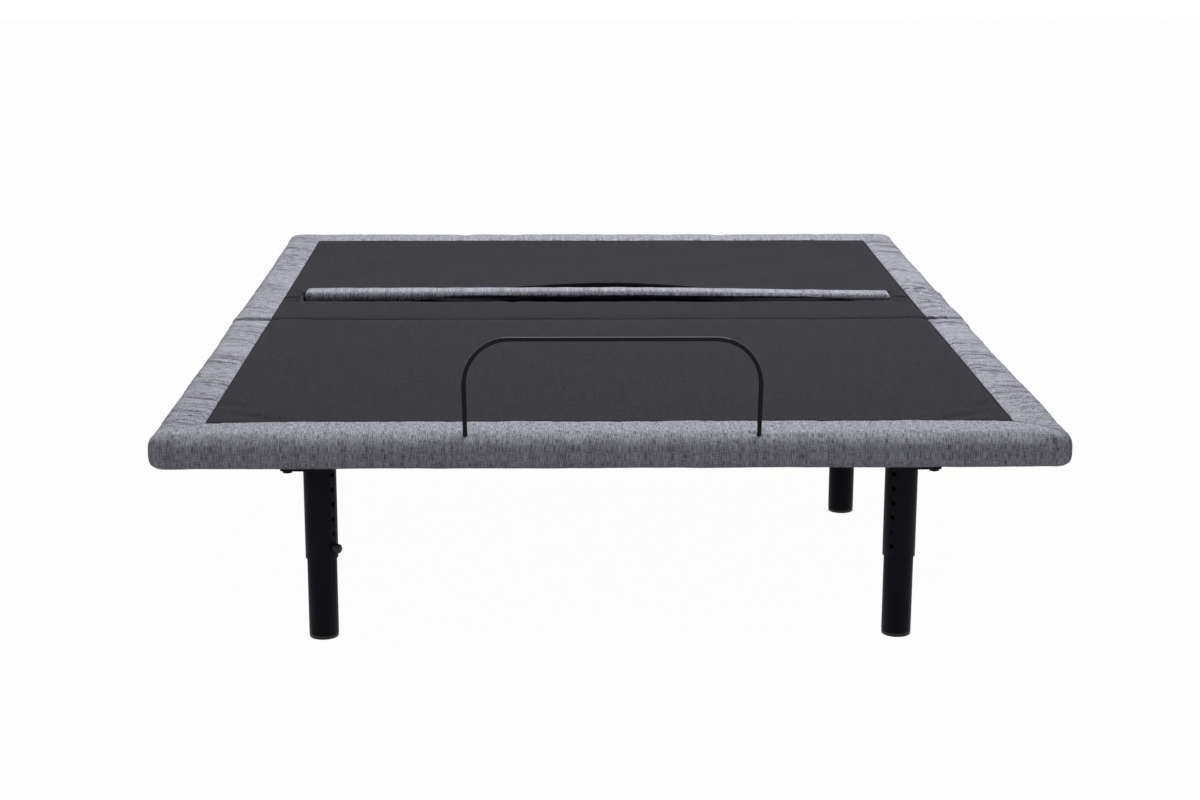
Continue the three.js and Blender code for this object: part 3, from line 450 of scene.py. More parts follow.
FINISHES = {
    "black_steel": black_steel, "zinc": zinc, "black_plastic": black_plastic,
    "plywood": plywood, "grey_linen": linen, "black_cloth": charcoal,
}
print("finishes", sorted(FINISHES))

# %% [markdown]
# ## Finishing the CAD parts
#
# The frame, the boards and the actuators keep their CAD shape. Their edges would look cut from paper, so
# live modifiers merge the loose triangles, round each hard edge by less than a millimetre and weight the
# normals by face area, which keeps the flats flat and lets round bars shade smoothly.

# %% Finish the CAD nodes
WELD_GAP = 0.00002
ROUND_EDGE, ROUND_FROM = 0.0006, math.radians(35)


def fill_in(thing, **settings):
    for name, value in settings.items():
        setattr(thing, name, value)


def add_modifier(piece, kind, **settings):
    modifier = piece.modifiers.new(kind.title(), kind)
    fill_in(modifier, **settings)
    return modifier


def finish_node(node, finish):
    node.data.materials.clear()
    node.data.materials.append(finish)
    for polygon in node.data.polygons:
        polygon.use_smooth = True
    add_modifier(node, "WELD", merge_threshold=WELD_GAP)
    add_modifier(node, "BEVEL", width=ROUND_EDGE, segments=1, limit_method="ANGLE", angle_limit=ROUND_FROM)
    add_modifier(node, "WEIGHTED_NORMAL", keep_sharp=False)


def finish_name(node_name):
    if "board" in node_name:
        return "plywood"
    if any(word in node_name for word in ("bolt", "actuator_rod", "actuator_pin", "stay")):
        return "zinc"
    if any(word in node_name for word in ("actuator_body", "control_box", "screw")):
        return "black_plastic"
    if "border" in node_name or node_name == "lumbar_pad":
        return "grey_linen"
    if node_name.endswith("_pad"):
        return "black_cloth"
    return "black_steel"


for name, node in nodes.items():
    finish_node(node, FINISHES[finish_name(name)])
print("finished", len(nodes), "CAD nodes")

# %% [markdown]
# ## Helpers for modelling by hand
#
# Every new piece starts as a primitive at its size and place, and is shaped in edit mode. `pick` selects
# by place, as a maker would by pointing. `apply` makes a modifier's result the mesh.

# %% Modelling helpers
def choose(*pieces):
    """Selects these pieces and nothing else, in object mode, and makes the first one active."""
    if bpy.context.mode != "OBJECT":
        bpy.ops.object.mode_set(mode="OBJECT")
    bpy.ops.object.select_all(action="DESELECT")
    for piece in pieces:
        piece.select_set(True)
    if pieces:
        bpy.context.view_layer.objects.active = pieces[0]


def settled(name):
    """The new primitive, named, with its place and size taken into its mesh."""
    bpy.ops.object.transform_apply(location=True, rotation=True, scale=True)
    bpy.context.object.name = name
    return bpy.context.object


def block(name, low, high):
    """A box between two corners."""
    choose()
    low, high = Vector(low), Vector(high)
    bpy.ops.mesh.primitive_cube_add(size=1, location=(low + high) / 2, scale=high - low)
    return settled(name)


def edit(kind):
    """Edit mode with nothing selected, to work on "EDGE" or "FACE"."""
    bpy.ops.object.mode_set(mode="EDIT")
    bpy.ops.mesh.select_mode(type=kind)
    bpy.ops.mesh.select_all(action="DESELECT")


def leave_edit():
    bpy.ops.object.mode_set(mode="OBJECT")


def pick(kind, test):
    """In edit mode, selects the "edges" or "faces" for which test(item, middle) is true."""
    mesh = bmesh.from_edit_mesh(bpy.context.object.data)
    for item in getattr(mesh, kind):
        middle = sum((corner.co for corner in item.verts), Vector()) / len(item.verts)
        if test(item, middle):
            item.select_set(True)
    bmesh.update_edit_mesh(bpy.context.object.data)


def bevel_where(test, width, segments):
    """Goes into edit mode and rounds the edges that pass test(edge, middle)."""
    edit("EDGE")
    pick("edges", test)
    bpy.ops.mesh.bevel(offset=width, segments=segments, affect="EDGES", clamp_overlap=True)


def level_at(height):
    """A test for edges that lie level at a height."""
    return lambda edge, middle: all(abs(corner.co.z - height) < 0.0001 for corner in edge.verts)


def upright(edge, middle):
    return abs(edge.verts[0].co.z - edge.verts[1].co.z) > 0.001


def apply(piece, modifier):
    choose(piece)
    bpy.ops.object.modifier_apply(modifier=modifier.name)


def subdivide(piece):
    apply(piece, add_modifier(
        piece, "SUBSURF", levels=1, render_levels=1, boundary_smooth="PRESERVE_CORNERS"))


def thicken(piece, thickness):
    """A wall inwards from the surface."""
    apply(piece, add_modifier(piece, "SOLIDIFY", thickness=thickness, offset=-1))


def of_points(piece, field):
    flat = np.empty(len(piece.data.vertices) * 3)
    piece.data.vertices.foreach_get(field, flat)
    return flat.reshape(-1, 3)


def places(piece):
    return of_points(piece, "co")


def outward(piece):
    return of_points(piece, "normal")


def put_places(piece, moved):
    piece.data.vertices.foreach_set("co", np.ascontiguousarray(moved, np.float32).ravel())
    piece.data.update()


def store(piece, name, values):
    attribute = piece.data.attributes.new(name, "FLOAT_VECTOR", "POINT")
    attribute.data.foreach_set("vector", np.ascontiguousarray(values, np.float32).ravel())


def smooth_all(piece, degrees=60):
    choose(piece)
    bpy.ops.object.shade_smooth_by_angle(angle=math.radians(degrees))


def wear(piece, slot, finish=None):
    """Gives a piece its finish, by its slot's name in FINISHES, or a finer one of that kind."""
    piece.data.materials.clear()
    piece.data.materials.append(finish or FINISHES[slot])
    print(piece.name, sum(len(polygon.vertices) - 2 for polygon in piece.data.polygons), "triangles")


# %% [markdown]
# ## Cloth that is pushed out from inside
#
# Foam under a stretched cover swells it between the lines where it is held. The cover is run as cloth with
# a little air pressure and a little spare fabric, no gravity, for twenty frames. Each point then keeps to
# within a small distance of where it started, because foam on a board can only give so much.

# %% Pressed cloth
SIM_FRAMES = 20


def puff(cover, held, pressure, slack, bending, cap):
    """Runs the cover as cloth. held(places) says which points are fixed; slack is a share of spare cloth."""
    start = places(cover)
    pins = cover.vertex_groups.new(name="held")
    pins.add([int(i) for i in np.flatnonzero(held(start))], 1.0, "REPLACE")
    cloth = add_modifier(cover, "CLOTH")
    fill_in(cloth.settings, quality=4, mass=0.3, vertex_group_mass=pins.name, bending_stiffness=bending,
            shrink_min=-slack, use_pressure=True, uniform_pressure_force=pressure)
    cloth.settings.effector_weights.gravity = 0
    cloth.collision_settings.use_collision = False
    fill_in(cloth.point_cache, frame_start=1, frame_end=SIM_FRAMES)
    for number in range(1, SIM_FRAMES + 1):
        bpy.context.scene.frame_set(number)
    apply(cover, cloth)
    moved = places(cover) - start
    length = np.linalg.norm(moved, axis=1, keepdims=True)
    share = np.minimum(1, cap / np.maximum(length, 1e-9))
    put_places(cover, start + moved * share)
    bpy.context.scene.frame_set(1)
    cover.vertex_groups.clear()
    print("swelled", cover.name, "by up to", round(float(length.max()) * 1000, 1), "mm")


# %% [markdown]
# ## The linen border
#
# On the real bed one band of linen goes round each half: up from the underside of the rim, over the foam
# on the outer face and the top edge, and in to the seam with the black cloth. Here a rounded block is
# remeshed into even squares, cut along the seam, opened where there is no linen, and swelled. Creases and
# the dimples round the retainer bar are then pressed into it, and it gets its thickness last.

# %% Shape of the border
TOP_ROUND, LOW_ROUND, CORNER_ROUND = 0.019, 0.018, 0.026
FOOT_END_ROUND, HEAD_END_ROUND = 0.012, 0.006  # how far the linen is rounded at the middle seam
SIDE_SWELL, TOP_SWELL = 0.0035, 0.0008  # how far foam stands proud of the sides and head end, and of the top
RIM_INSIDE, BOARD_LOW = 0.0305, 0.341  # where the linen ends under the deck
UNDER_X = HALF_WIDTH - RIM_INSIDE
TOP_FROM, SEAM_FROM = 0.335, 0.340  # above these lie the border's top, and its line sewn to the black cloth
VOXEL = 0.008


def rounded_half(name, seam_y, far_y):
    """A block for one half of the deck, rounded as the upholstery is."""
    towards = math.copysign(1, far_y)
    far = far_y + max(0, towards) * SIDE_SWELL
    half, top = HALF_WIDTH + SIDE_SWELL, DECK_TOP + TOP_SWELL
    slab = block(name, (-half, min(seam_y, far), BORDER_LOW), (half, max(seam_y, far), top))

    def at_seam(middle):
        return abs(middle.y - seam_y) < 0.001

    bevel_where(lambda edge, middle: upright(edge, middle) and not at_seam(middle), CORNER_ROUND, 8)
    for level, width in ((level_at(top), TOP_ROUND), (level_at(BORDER_LOW), LOW_ROUND)):
        bevel_where(lambda edge, middle: level(edge, middle) and not at_seam(middle), width, 6)
    bevel_where(lambda edge, middle: at_seam(middle), HEAD_END_ROUND if towards > 0 else FOOT_END_ROUND, 3)
    leave_edit()
    return slab


def bisect_at(axis, *spots):
    """In edit mode, cuts the whole mesh square to an axis at each spot."""
    for spot in spots:
        bpy.ops.mesh.select_all(action="SELECT")
        bpy.ops.mesh.bisect(plane_co=spot * axis, plane_no=axis)


def even_squares(piece, size):
    choose(piece)
    piece.data.remesh_voxel_size = size
    bpy.ops.object.voxel_remesh()


def delete_faces(test):
    edit("FACE")
    pick("faces", test)
    bpy.ops.mesh.delete(type="FACE")


def linen_shell(name, seam_y, far_y, inner_y):
    """The open linen shell of one half, before it swells."""
    towards = math.copysign(1, far_y)
    under_y = far_y - towards * RIM_INSIDE
    shell = rounded_half(name, seam_y, far_y)
    even_squares(shell, VOXEL)
    edit("FACE")
    bisect_at(ACROSS, -INNER_X, -UNDER_X, INNER_X, UNDER_X)
    bisect_at(ALONG, inner_y, under_y)

    def not_linen(face, middle):
        inside_seam = abs(middle.x) < INNER_X and (middle.y - inner_y) * towards < 0
        inside_rim = abs(middle.x) < UNDER_X and (middle.y - under_y) * towards < 0
        return (middle.z > TOP_FROM and inside_seam) or (middle.z < BOARD_LOW and inside_rim)

    delete_faces(not_linen)
    leave_edit()
    return shell


# %% Pressing creases
def distance_to(points, start, stop):
    """How far each point is from the line between two places, and how far along the line it is, 0 to 1."""
    start, run = np.array(start), np.array(stop) - np.array(start)
    part = np.clip(((points - start) @ run) / (run @ run), 0, 1)
    return np.linalg.norm(points - start - part[:, None] * run, axis=1), part


def hump(distance, reach):
    """1 at no distance, gone beyond about twice the reach."""
    return np.exp(-((distance / reach) ** 2))


def crease(points, normals, start, stop, width, depth):
    """Presses a line in, with a small ridge along each side, fading out at both ends."""
    away, part = distance_to(points, start, stop)
    profile = hump(away, width) - 0.45 * hump(away - 1.9 * width, width)
    fade = np.sin(np.pi * np.clip(part, 0.02, 0.98)) ** 0.6
    return points - normals * (depth * profile * fade)[:, None]


def dimple(points, normals, middle, radius, depth, folds):
    """Draws the cloth down round a point, with small folds running out from it."""
    offset = points[:, :2] - np.array(middle)[:2]
    away = np.hypot(*offset.T)
    angle = np.arctan2(offset[:, 1], offset[:, 0])
    pull = -depth * hump(away, radius)
    gather = 0.35 * depth * np.cos(folds * angle) * hump(away - radius, radius)
    return points + normals * ((pull + gather) * (points[:, 2] > TOP_FROM))[:, None]


WAVES = [((1, 0.3, 0.5), 1.0), ((-0.4, 1, 0.8), 2.3), ((0.7, -0.8, 1.2), 4.1)]  # direction and phase


def ripple(points, normals, wave, height, seed):
    """Slow uneven swelling of foam under cloth."""
    total = sum(np.sin(points @ (2 * np.pi / wave * np.array(direction)) + phase * seed)
                for direction, phase in WAVES)
    return points + normals * (height * total / len(WAVES))[:, None]


def raised(points, height):
    return points + np.outer(height, (0, 0, 1))


def lift(points, normals, line_y, reach, rise):
    """Raises or lowers the top near a line across the deck."""
    return raised(points, rise * hump(points[:, 1] - line_y, reach) * (points[:, 2] > TOP_FROM))


def smooth_step(value, low, high):
    part = np.clip((value - low) / (high - low), 0, 1)
    return part * part * (3 - 2 * part)


def press(cover, steps):
    for step in steps:
        put_places(cover, step(places(cover), outward(cover)))


# %% Where the linen lies on the flat cloth
def lay_out(cover, far_y, border):
    """Stores where each point lies on the flat band of cloth: along it, across it, and how gathered it is.

    The places at rest are stored too, because the painted shade and grooves of the folds are drawn from
    them."""
    points = places(cover)
    x, y, z = points.T
    towards = math.copysign(1, far_y)
    down = DECK_TOP - z
    from_side = (HALF_WIDTH - np.abs(x)) / SIDE_BORDER
    from_end = (far_y - y) * towards / border
    on_side = from_side < from_end
    outer_x, outer_y = np.abs(x).max(), (y * towards).max()
    under = z < (DECK_TOP + BORDER_LOW) / 2
    out_x = np.where(under, 2 * outer_x - np.abs(x), np.abs(x)) + down
    out_y = np.where(under, 2 * outer_y - y * towards, y * towards) + down
    flat = points.copy()
    flat[:, 0] = np.where(on_side, y, x)
    flat[:, 1] = np.where(on_side, np.sign(x) * out_x, towards * out_y)
    flat[:, 2] = on_side
    store(cover, "cloth_place", flat)
    store(cover, "rest_place", points)


# %% [markdown]
# The creases are placed where the real linen is gathered: across the side borders near the ends of the slot
# and towards the foot, and along the folded corners. Both halves are made the same way. The strip of a
# foot-half cover next to the middle seam is then cut off as a piece of its own, because it bends where the
# thigh section lifts, and the rest of the cover bends at the knee.

# %% Where the linen is creased
HEAD_REACH, HEAD_RISE = 0.45, 0.0052  # the foam thickens a little towards the head end
ROD_X, ROD_Y = 0.241, -0.9935  # where the retainer goes through the linen


def gather(points, normals, side, middle, reach, wave, height, slant):
    """Uneven waves across a side border, strongest at one place along it and gone at its inner edge."""
    x, y, z = points.T
    along = y + slant * (np.abs(x) - HALF_WIDTH)
    uneven = 0.6 * np.sin(along * 41 + side) + 0.4 * np.sin(np.abs(x) * 60 + along * 23)
    waves = np.sin(2 * np.pi * along / wave + 1.7 * uneven)
    inwards = smooth_step(np.abs(x), INNER_X, HALF_WIDTH - 0.6 * SIDE_BORDER)
    near = hump(y - middle, reach) * (x * side > 0) * smooth_step(z, TOP_FROM, 0.352)
    return points + normals * (height * waves * inwards * near)[:, None]


def gathers(side, *rows):
    """Each row has a place along the side, a reach, a wave, a height and a slant."""
    return [partial(gather, side=side, middle=middle, reach=reach, wave=wave, height=height, slant=slant)
            for middle, reach, wave, height, slant in rows]


def folded_corner(side, far_y, border, depth):
    towards = math.copysign(1, far_y)
    inner = (side * INNER_X, far_y - towards * border, DECK_TOP)
    outer = (side * FOLD_X, far_y - towards * 0.010, DECK_TOP)
    below = (side * FOLD_X, far_y, BORDER_LOW)
    return [partial(crease, start=inner, stop=outer, width=0.004, depth=depth),
            partial(crease, start=outer, stop=below, width=0.006, depth=0.5 * depth)]


foot_creases = [
    partial(lift, line_y=SEAM_Y, reach=0.030, rise=-0.0022),
    partial(ripple, wave=0.23, height=0.0006, seed=1),
    partial(ripple, wave=0.061, height=0.0003, seed=2),
    *folded_corner(1, -HALF_LENGTH, FOOT_BORDER, 0.0016),
    *folded_corner(-1, -HALF_LENGTH, FOOT_BORDER, 0.0009),
    *gathers(1, (-0.840, 0.120, 0.032, 0.0026, 0.7), (-0.560, 0.140, 0.036, 0.0012, 0.4),
             (-0.080, 0.060, 0.026, 0.0014, 0.3)),
    *gathers(-1, (-0.570, 0.120, 0.028, 0.0015, 0.5), (-0.860, 0.100, 0.032, 0.0010, 0.5),
             (-0.090, 0.070, 0.026, 0.0011, 0.3)),
    *[partial(dimple, middle=(x, ROD_Y), radius=0.013, depth=0.0030, folds=5)
      for x in (-ROD_X, ROD_X)],
]
head_creases = [
    partial(lift, line_y=SEAM_Y, reach=0.030, rise=0.0018),
    partial(lift, line_y=HALF_LENGTH * 1.1, reach=HEAD_REACH, rise=HEAD_RISE),
    partial(ripple, wave=0.25, height=0.0006, seed=3),
    partial(ripple, wave=0.057, height=0.0003, seed=4),
    *folded_corner(1, HALF_LENGTH, HEAD_BORDER, 0.0010),
    *folded_corner(-1, HALF_LENGTH, HEAD_BORDER, 0.0010),
    *gathers(1, (0.060, 0.080, 0.030, 0.0020, 0.5), (0.230, 0.100, 0.036, 0.0028, -0.5),
             (0.520, 0.150, 0.044, 0.0014, 0.4)),
    *gathers(-1, (0.080, 0.080, 0.026, 0.0015, 0.4), (0.330, 0.150, 0.030, 0.0017, -0.4),
             (0.680, 0.180, 0.036, 0.0016, 0.4)),
]

# %% Make the two linen borders
SEAM_GAP, HEAD_GAP = 0.0016, 0.0028  # the thigh board's edge turns in under the head half's
STRIP_END = SEAM_Y - 0.030
LINEN_THICK, SEAM_SINK = 0.0024, 0.0014
LOW_HELD = 0.003  # the lowest part of the linen, which is held
SEAM_NEAR, SEAM_PAST = 0.0012, 0.002  # how close to the sewn line a point counts as on it, and past its ends


def bend_at_seam(cover):
    """Cuts off the seam strip of a foot-half cover as a piece of its own."""
    choose(cover)
    edit("FACE")
    bisect_at(ALONG, STRIP_END)
    edit("FACE")
    pick("faces", lambda face, middle: middle.y > STRIP_END)
    bpy.ops.mesh.separate(type="SELECTED")
    leave_edit()
    strip = next(piece for piece in bpy.context.selected_objects if piece != cover)
    strip.name = f"{cover.name}_seam"
    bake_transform(strip)
    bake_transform(cover)


def bend_at_hip(cover):
    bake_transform(cover)


def linen_border(name, seam_y, far_y, border, steps):
    towards = math.copysign(1, far_y)
    inner_y = far_y - towards * border
    shell = linen_shell(name, seam_y, far_y, inner_y)

    def held(points):
        x, y, z = points.T
        on_seam = (np.abs(np.abs(x) - INNER_X) < SEAM_NEAR) & ((y - inner_y) * towards < SEAM_PAST)
        on_seam |= (np.abs(y - inner_y) < SEAM_NEAR) & (np.abs(x) < INNER_X + SEAM_PAST)
        below = (z < BORDER_LOW + LOW_HELD) | ((z < BOARD_LOW) & (np.abs(x) < UNDER_X))
        return (on_seam & (z > SEAM_FROM)) | below

    puff(shell, held, pressure=4, slack=0.005, bending=4, cap=0.0035)
    points = places(shell)
    points[held(points) & (points[:, 2] > SEAM_FROM), 2] -= SEAM_SINK
    put_places(shell, points)
    subdivide(shell)
    press(shell, steps)
    thicken(shell, LINEN_THICK)
    smooth_all(shell)
    lay_out(shell, far_y, border)
    wear(shell, "grey_linen")
    return shell


foot_linen = linen_border("foot_linen", SEAM_Y - SEAM_GAP, -HALF_LENGTH, FOOT_BORDER, foot_creases)
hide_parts("calf_border", "thigh_border_left", "thigh_border_right")
bend_at_seam(foot_linen)

head_linen = linen_border("head_linen", SEAM_Y + HEAD_GAP, HALF_LENGTH, HEAD_BORDER, head_creases)
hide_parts("head_border", "seat_border_left", "seat_border_right")
bend_at_hip(head_linen)

# %% [markdown]
# ## The black cloth
#
# The middle of each half is a stretched black cloth over thin foam. A grid of squares is the cloth laid
# flat. Its outer edge is tucked under the linen, and where it ends at the fold between the halves, or at
# the slot for the lumbar bar, it turns down round the edge of the board.

# %% Shape of the black cloth
CLOTH_TOP = 0.3610
TUCK, TUCK_DROP, TUCK_REACH = 0.003, 0.0030, 0.008  # how the edge goes under the linen
CLOTH_HALF = INNER_X + TUCK
CLOTH_SQUARE = 0.010
CLOTH_THICK = 0.0016
CLOTH_MARGIN = 0.0030  # the fold round a board's edge stands 1.6 mm clear of it
EDGE_FOLD = ((0.0022, 0.0006), (0.0018, 0.0020), (0.0006, 0.0030))  # out and down, round a board's edge
SLOT_FOLD = (*EDGE_FOLD, (0.0, 0.0138))  # and straight down into the slot
EDGE_NEAR = 0.0015  # an edge this close to a line is on it


def cloth_grid(name, low_y, high_y):
    choose()
    width, length = 2 * CLOTH_HALF, high_y - low_y
    bpy.ops.mesh.primitive_grid_add(
        x_subdivisions=round(width / CLOTH_SQUARE), y_subdivisions=round(length / CLOTH_SQUARE),
        size=1, location=(0, (low_y + high_y) / 2, CLOTH_TOP))
    bpy.context.object.scale = (width, length, 1)
    return settled(name)


def fold_over(test, direction, steps):
    """In edit mode, draws the boundary edges that pass test out and down, step by step."""
    edit("EDGE")
    pick("edges", lambda edge, middle: edge.is_boundary and test(middle))
    for out, down in steps:
        bpy.ops.mesh.extrude_edges_move(TRANSFORM_OT_translate={
            "value": (direction[0] * out, direction[1] * out, -down)})


def cut_slot():
    """In edit mode, cuts out the slot for the lumbar bar and turns its four edges down."""
    half, front, back = SLOT_HALF + CLOTH_MARGIN, SLOT_FRONT - CLOTH_MARGIN, SLOT_BACK + CLOTH_MARGIN
    bisect_at(ACROSS, -half, half)
    bisect_at(ALONG, front, back)
    delete_faces(lambda face, middle: abs(middle.x) < half and front < middle.y < back)
    for y, inwards in ((front, 1), (back, -1)):
        fold_over(lambda middle: abs(middle.y - y) < EDGE_NEAR and abs(middle.x) < half,
                  (0, inwards), SLOT_FOLD)
    for side in (-1, 1):
        fold_over(lambda middle: abs(middle.x - side * half) < EDGE_NEAR and front < middle.y < back,
                  (-side, 0), SLOT_FOLD)


def black_cloth(name, seam_y, far_y, steps, slot=False):
    """A cloth that turns down at the middle seam, is tucked under the linen and may have the slot in it."""
    towards = math.copysign(1, far_y)
    near_y = seam_y + towards * CLOTH_MARGIN
    cloth = cloth_grid(name, *sorted((near_y, far_y)))
    edit("FACE")
    if slot:
        cut_slot()
    fold_over(lambda middle: abs(middle.y - near_y) < EDGE_NEAR and abs(middle.x) < CLOTH_HALF - 0.001,
              (0, -towards), EDGE_FOLD)
    leave_edit()

    def held(points):
        x, y, z = points.T
        rim = (np.abs(x) > CLOTH_HALF - 0.001) | (np.abs(y - far_y) < 0.001)
        return rim | (z < CLOTH_TOP - 0.003)

    puff(cloth, held, pressure=1.2, slack=0.004, bending=8, cap=0.0012)
    points = places(cloth)
    rim = np.minimum(CLOTH_HALF - np.abs(points[:, 0]), np.abs(points[:, 1] - far_y))
    put_places(cloth, raised(points, -TUCK_DROP * np.clip(1 - rim / TUCK_REACH, 0, 1) ** 2))
    press(cloth, steps)
    thicken(cloth, CLOTH_THICK)
    smooth_all(cloth)
    points = places(cloth)
    store(cloth, "rest_place", points)
    store(cloth, "cloth_place", points * (1, 1, 0))
    wear(cloth, "black_cloth")
    return cloth


# %% Make the two cloths
SLOT_SAG, SLOT_BULGE = 0.0032, 0.0225  # in front of the bar, and behind it


def slot_dip(points, normals):
    """The front edge of the slot sags a little between its ends."""
    x, y, _ = points.T
    sag = smooth_step(x, -0.52, -0.30) * (1 - smooth_step(x, 0.45, 0.62))
    return raised(points, -SLOT_SAG * sag * hump(y - SLOT_FRONT, 0.022) * (y < SLOT_FRONT + 0.02))


def slot_bulge(points, normals):
    """The cloth behind the bar is pushed up at the middle, so its edge shows as a dark line over the bar."""
    x, y, z = points.T
    near = hump(x - 0.02, 0.26) * hump(y - SLOT_BACK, 0.035)
    return raised(points, SLOT_BULGE * near * smooth_step(z, 0.345, 0.357) * (y > SLOT_BACK - 0.004))


foot_cloth = black_cloth(
    "foot_cloth", SEAM_Y - SEAM_GAP, -HALF_LENGTH + FOOT_BORDER - TUCK,
    [partial(ripple, wave=0.31, height=0.0004, seed=5)])
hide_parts("thigh_pad", "calf_pad")
bend_at_seam(foot_cloth)

hip_creases = [
    partial(crease, start=(side * 0.640, HIP_Y + lead, CLOTH_TOP),
            stop=(side * 0.690, HIP_Y + trail, CLOTH_TOP), width=0.005, depth=depth)
    for side in (-1, 1)
    for lead, trail, depth in ((-0.004, -0.020, 0.0040), (0.020, 0.034, 0.0032))]
head_cloth = black_cloth(
    "head_cloth", SEAM_Y + SEAM_GAP, HALF_LENGTH - HEAD_BORDER + TUCK,
    [partial(ripple, wave=0.27, height=0.0009, seed=6), slot_dip, slot_bulge,
     partial(lift, line_y=HALF_LENGTH * 1.1, reach=HEAD_REACH, rise=HEAD_RISE), *hip_creases], slot=True)
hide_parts("seat_pad", "head_pad")
bend_at_hip(head_cloth)

# %% [markdown]
# ## The lumbar bar's cover
#
# The lumbar bar is a foam strip on a steel slat, wrapped in the same linen as the border. A long block
# with rounded edges is remeshed and swelled, and its underside is drawn up along the middle, where the
# foam is thinner and a dark gap shows under it.

# %% Make the lumbar bar
BAR_ROUND, BAR_INSET, BAR_VOXEL = 0.008, 0.001, 0.006
BAR_SHORT = 0.004  # the wrapped end on the left stops this much sooner
BAR_THIN, BAR_TAPER = 0.0022, 0.0065  # the foam's top is lower than the CAD bar's, more so to the right


def draw_up(points, normals):
    """Lifts the lower part of the bar between its two ends."""
    x, _, z = points.T
    middle = smooth_step(x, -0.45, -0.25) * (1 - smooth_step(x, 0.42, 0.60))
    lower = 1 - smooth_step(z, bar_low.z, bar_high.z - 0.006)
    rise = (BAR_RISE + 0.0015 * np.sin(x * 19)) * middle * lower
    return raised(points, rise - (BAR_THIN + BAR_TAPER * smooth_step(x, 0.05, 0.60)) * (1 - lower))


def wrapped(points):
    """The place on the flat cloth of points on the long wrapped bar."""
    middle_y, middle_z = (bar_low.y + bar_high.y) / 2, (bar_low.z + bar_high.z) / 2
    flat = points.copy()
    flat[:, 1] = points[:, 1] - (points[:, 2] - middle_z) * np.sign(points[:, 1] - middle_y)
    flat[:, 2] = 0
    return flat


inset = Vector((BAR_INSET, BAR_INSET, BAR_INSET))
bar = block("lumbar_cover", bar_low + inset + BAR_SHORT * ACROSS, bar_high - inset)
bevel_where(lambda edge, middle: True, BAR_ROUND, 4)
leave_edit()
even_squares(bar, BAR_VOXEL)
puff(bar, lambda points: np.zeros(len(points), bool), pressure=2, slack=0.01, bending=2, cap=0.0016)
subdivide(bar)
press(bar, [draw_up, partial(ripple, wave=0.06, height=0.0005, seed=7)])
smooth_all(bar)
store(bar, "rest_place", places(bar))
store(bar, "cloth_place", wrapped(places(bar)))
wear(bar, "grey_linen")
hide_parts("lumbar_pad")
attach(bar, "lumbar_lift")

# %% [markdown]
# ## The mattress retainer
#
# A bent steel rod with satin black coating stands in the foot border. It is drawn as a bender makes it:
# a disc is pulled up as a straight leg, spun through a quarter turn, pulled across, spun again and pulled
# down, so every section is round and the bends are true arcs.

# %% Make the retainer
rod_low, rod_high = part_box("retainer_bar")
ROD_RADIUS = 0.0038
ROD_LEAN = 0.0025  # each leg stands this much closer in at the foot
ROD_INSET = 0.0095  # the middle of the drawn rod is this far inside the CAD rod's box
ROD_HALF = (rod_high.x - rod_low.x) / 2 - ROD_INSET
ROD_TOP = rod_high.z - ROD_RADIUS
BEND_RADIUS = 0.075
BEND_HEIGHT = ROD_TOP - BEND_RADIUS

choose()
bpy.ops.mesh.primitive_circle_add(vertices=24, radius=ROD_RADIUS, fill_type="NGON",
                                  location=(-ROD_HALF, ROD_Y, rod_low.z))
rod = settled("retainer_rod")
bpy.ops.object.mode_set(mode="EDIT")
bpy.ops.mesh.select_mode(type="FACE")
bpy.ops.mesh.select_all(action="SELECT")


def pull(*move):
    bpy.ops.mesh.extrude_region_move(TRANSFORM_OT_translate={"value": move})


def quarter_turn(centre_x):
    bpy.ops.mesh.spin(steps=14, angle=math.radians(-90), center=(centre_x, ROD_Y, BEND_HEIGHT), axis=ALONG)


straight = BEND_HEIGHT - rod_low.z
pull(0, 0, straight)
quarter_turn(-ROD_HALF + BEND_RADIUS)
pull(2 * (ROD_HALF - BEND_RADIUS), 0, 0)
quarter_turn(ROD_HALF - BEND_RADIUS)
pull(0, 0, -straight)
bpy.ops.mesh.select_all(action="SELECT")
bpy.ops.mesh.remove_doubles(threshold=0.00001)
bpy.ops.mesh.normals_make_consistent(inside=False)
leave_edit()
points = places(rod)
low_part = np.clip((BEND_HEIGHT - points[:, 2]) / straight, 0, 1)
points[:, 0] -= np.sign(points[:, 0]) * ROD_LEAN * low_part
put_places(rod, points)
smooth_all(rod, 40)
wear(rod, "black_steel", satin_black)
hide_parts("retainer_bar")
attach(rod, "calf_section")

# %% [markdown]
# ## The legs
#
# Each leg is a drilled sleeve welded to a flange plate, a tube that slides in it, a plastic foot and a hand
# screw. The CAD tubes have sixteen flats, so smooth ones are made here, once, standing on the origin with
# the drilled row along -Y. Six copies are then turned and put in place.

# %% Leg sizes
LEG_TURNS = {"foot_left": 54, "foot_right": 144, "middle_left": 45,
             "middle_right": -45, "head_left": 135, "head_right": -135}
SLEEVE_RADIUS, TUBE_RADIUS, WALL = 0.0275, 0.025, 0.002
SLEEVE_LOW, SLEEVE_HIGH, TUBE_HIGH, FOOT_HIGH = 0.140, 0.337, 0.205, 0.007
HOLE_LOW, HOLE_PITCH, HOLE_COUNT, HOLE_RADIUS = 0.160, 0.0254, 6, 0.0042
PLATE_LOW, PLATE_HIGH = 0.2971, 0.3024
PLATE_OUT, PLATE_IN, PLATE_HALF = 0.063, 0.0272, 0.032
BOLT_X, BOLT_Y = 0.051, 0.019
ROUND_SIDES = 48
DRILL_HALF = 0.04
HARD_ANGLE, SMOOTH_ANGLE = 40, 35  # degrees


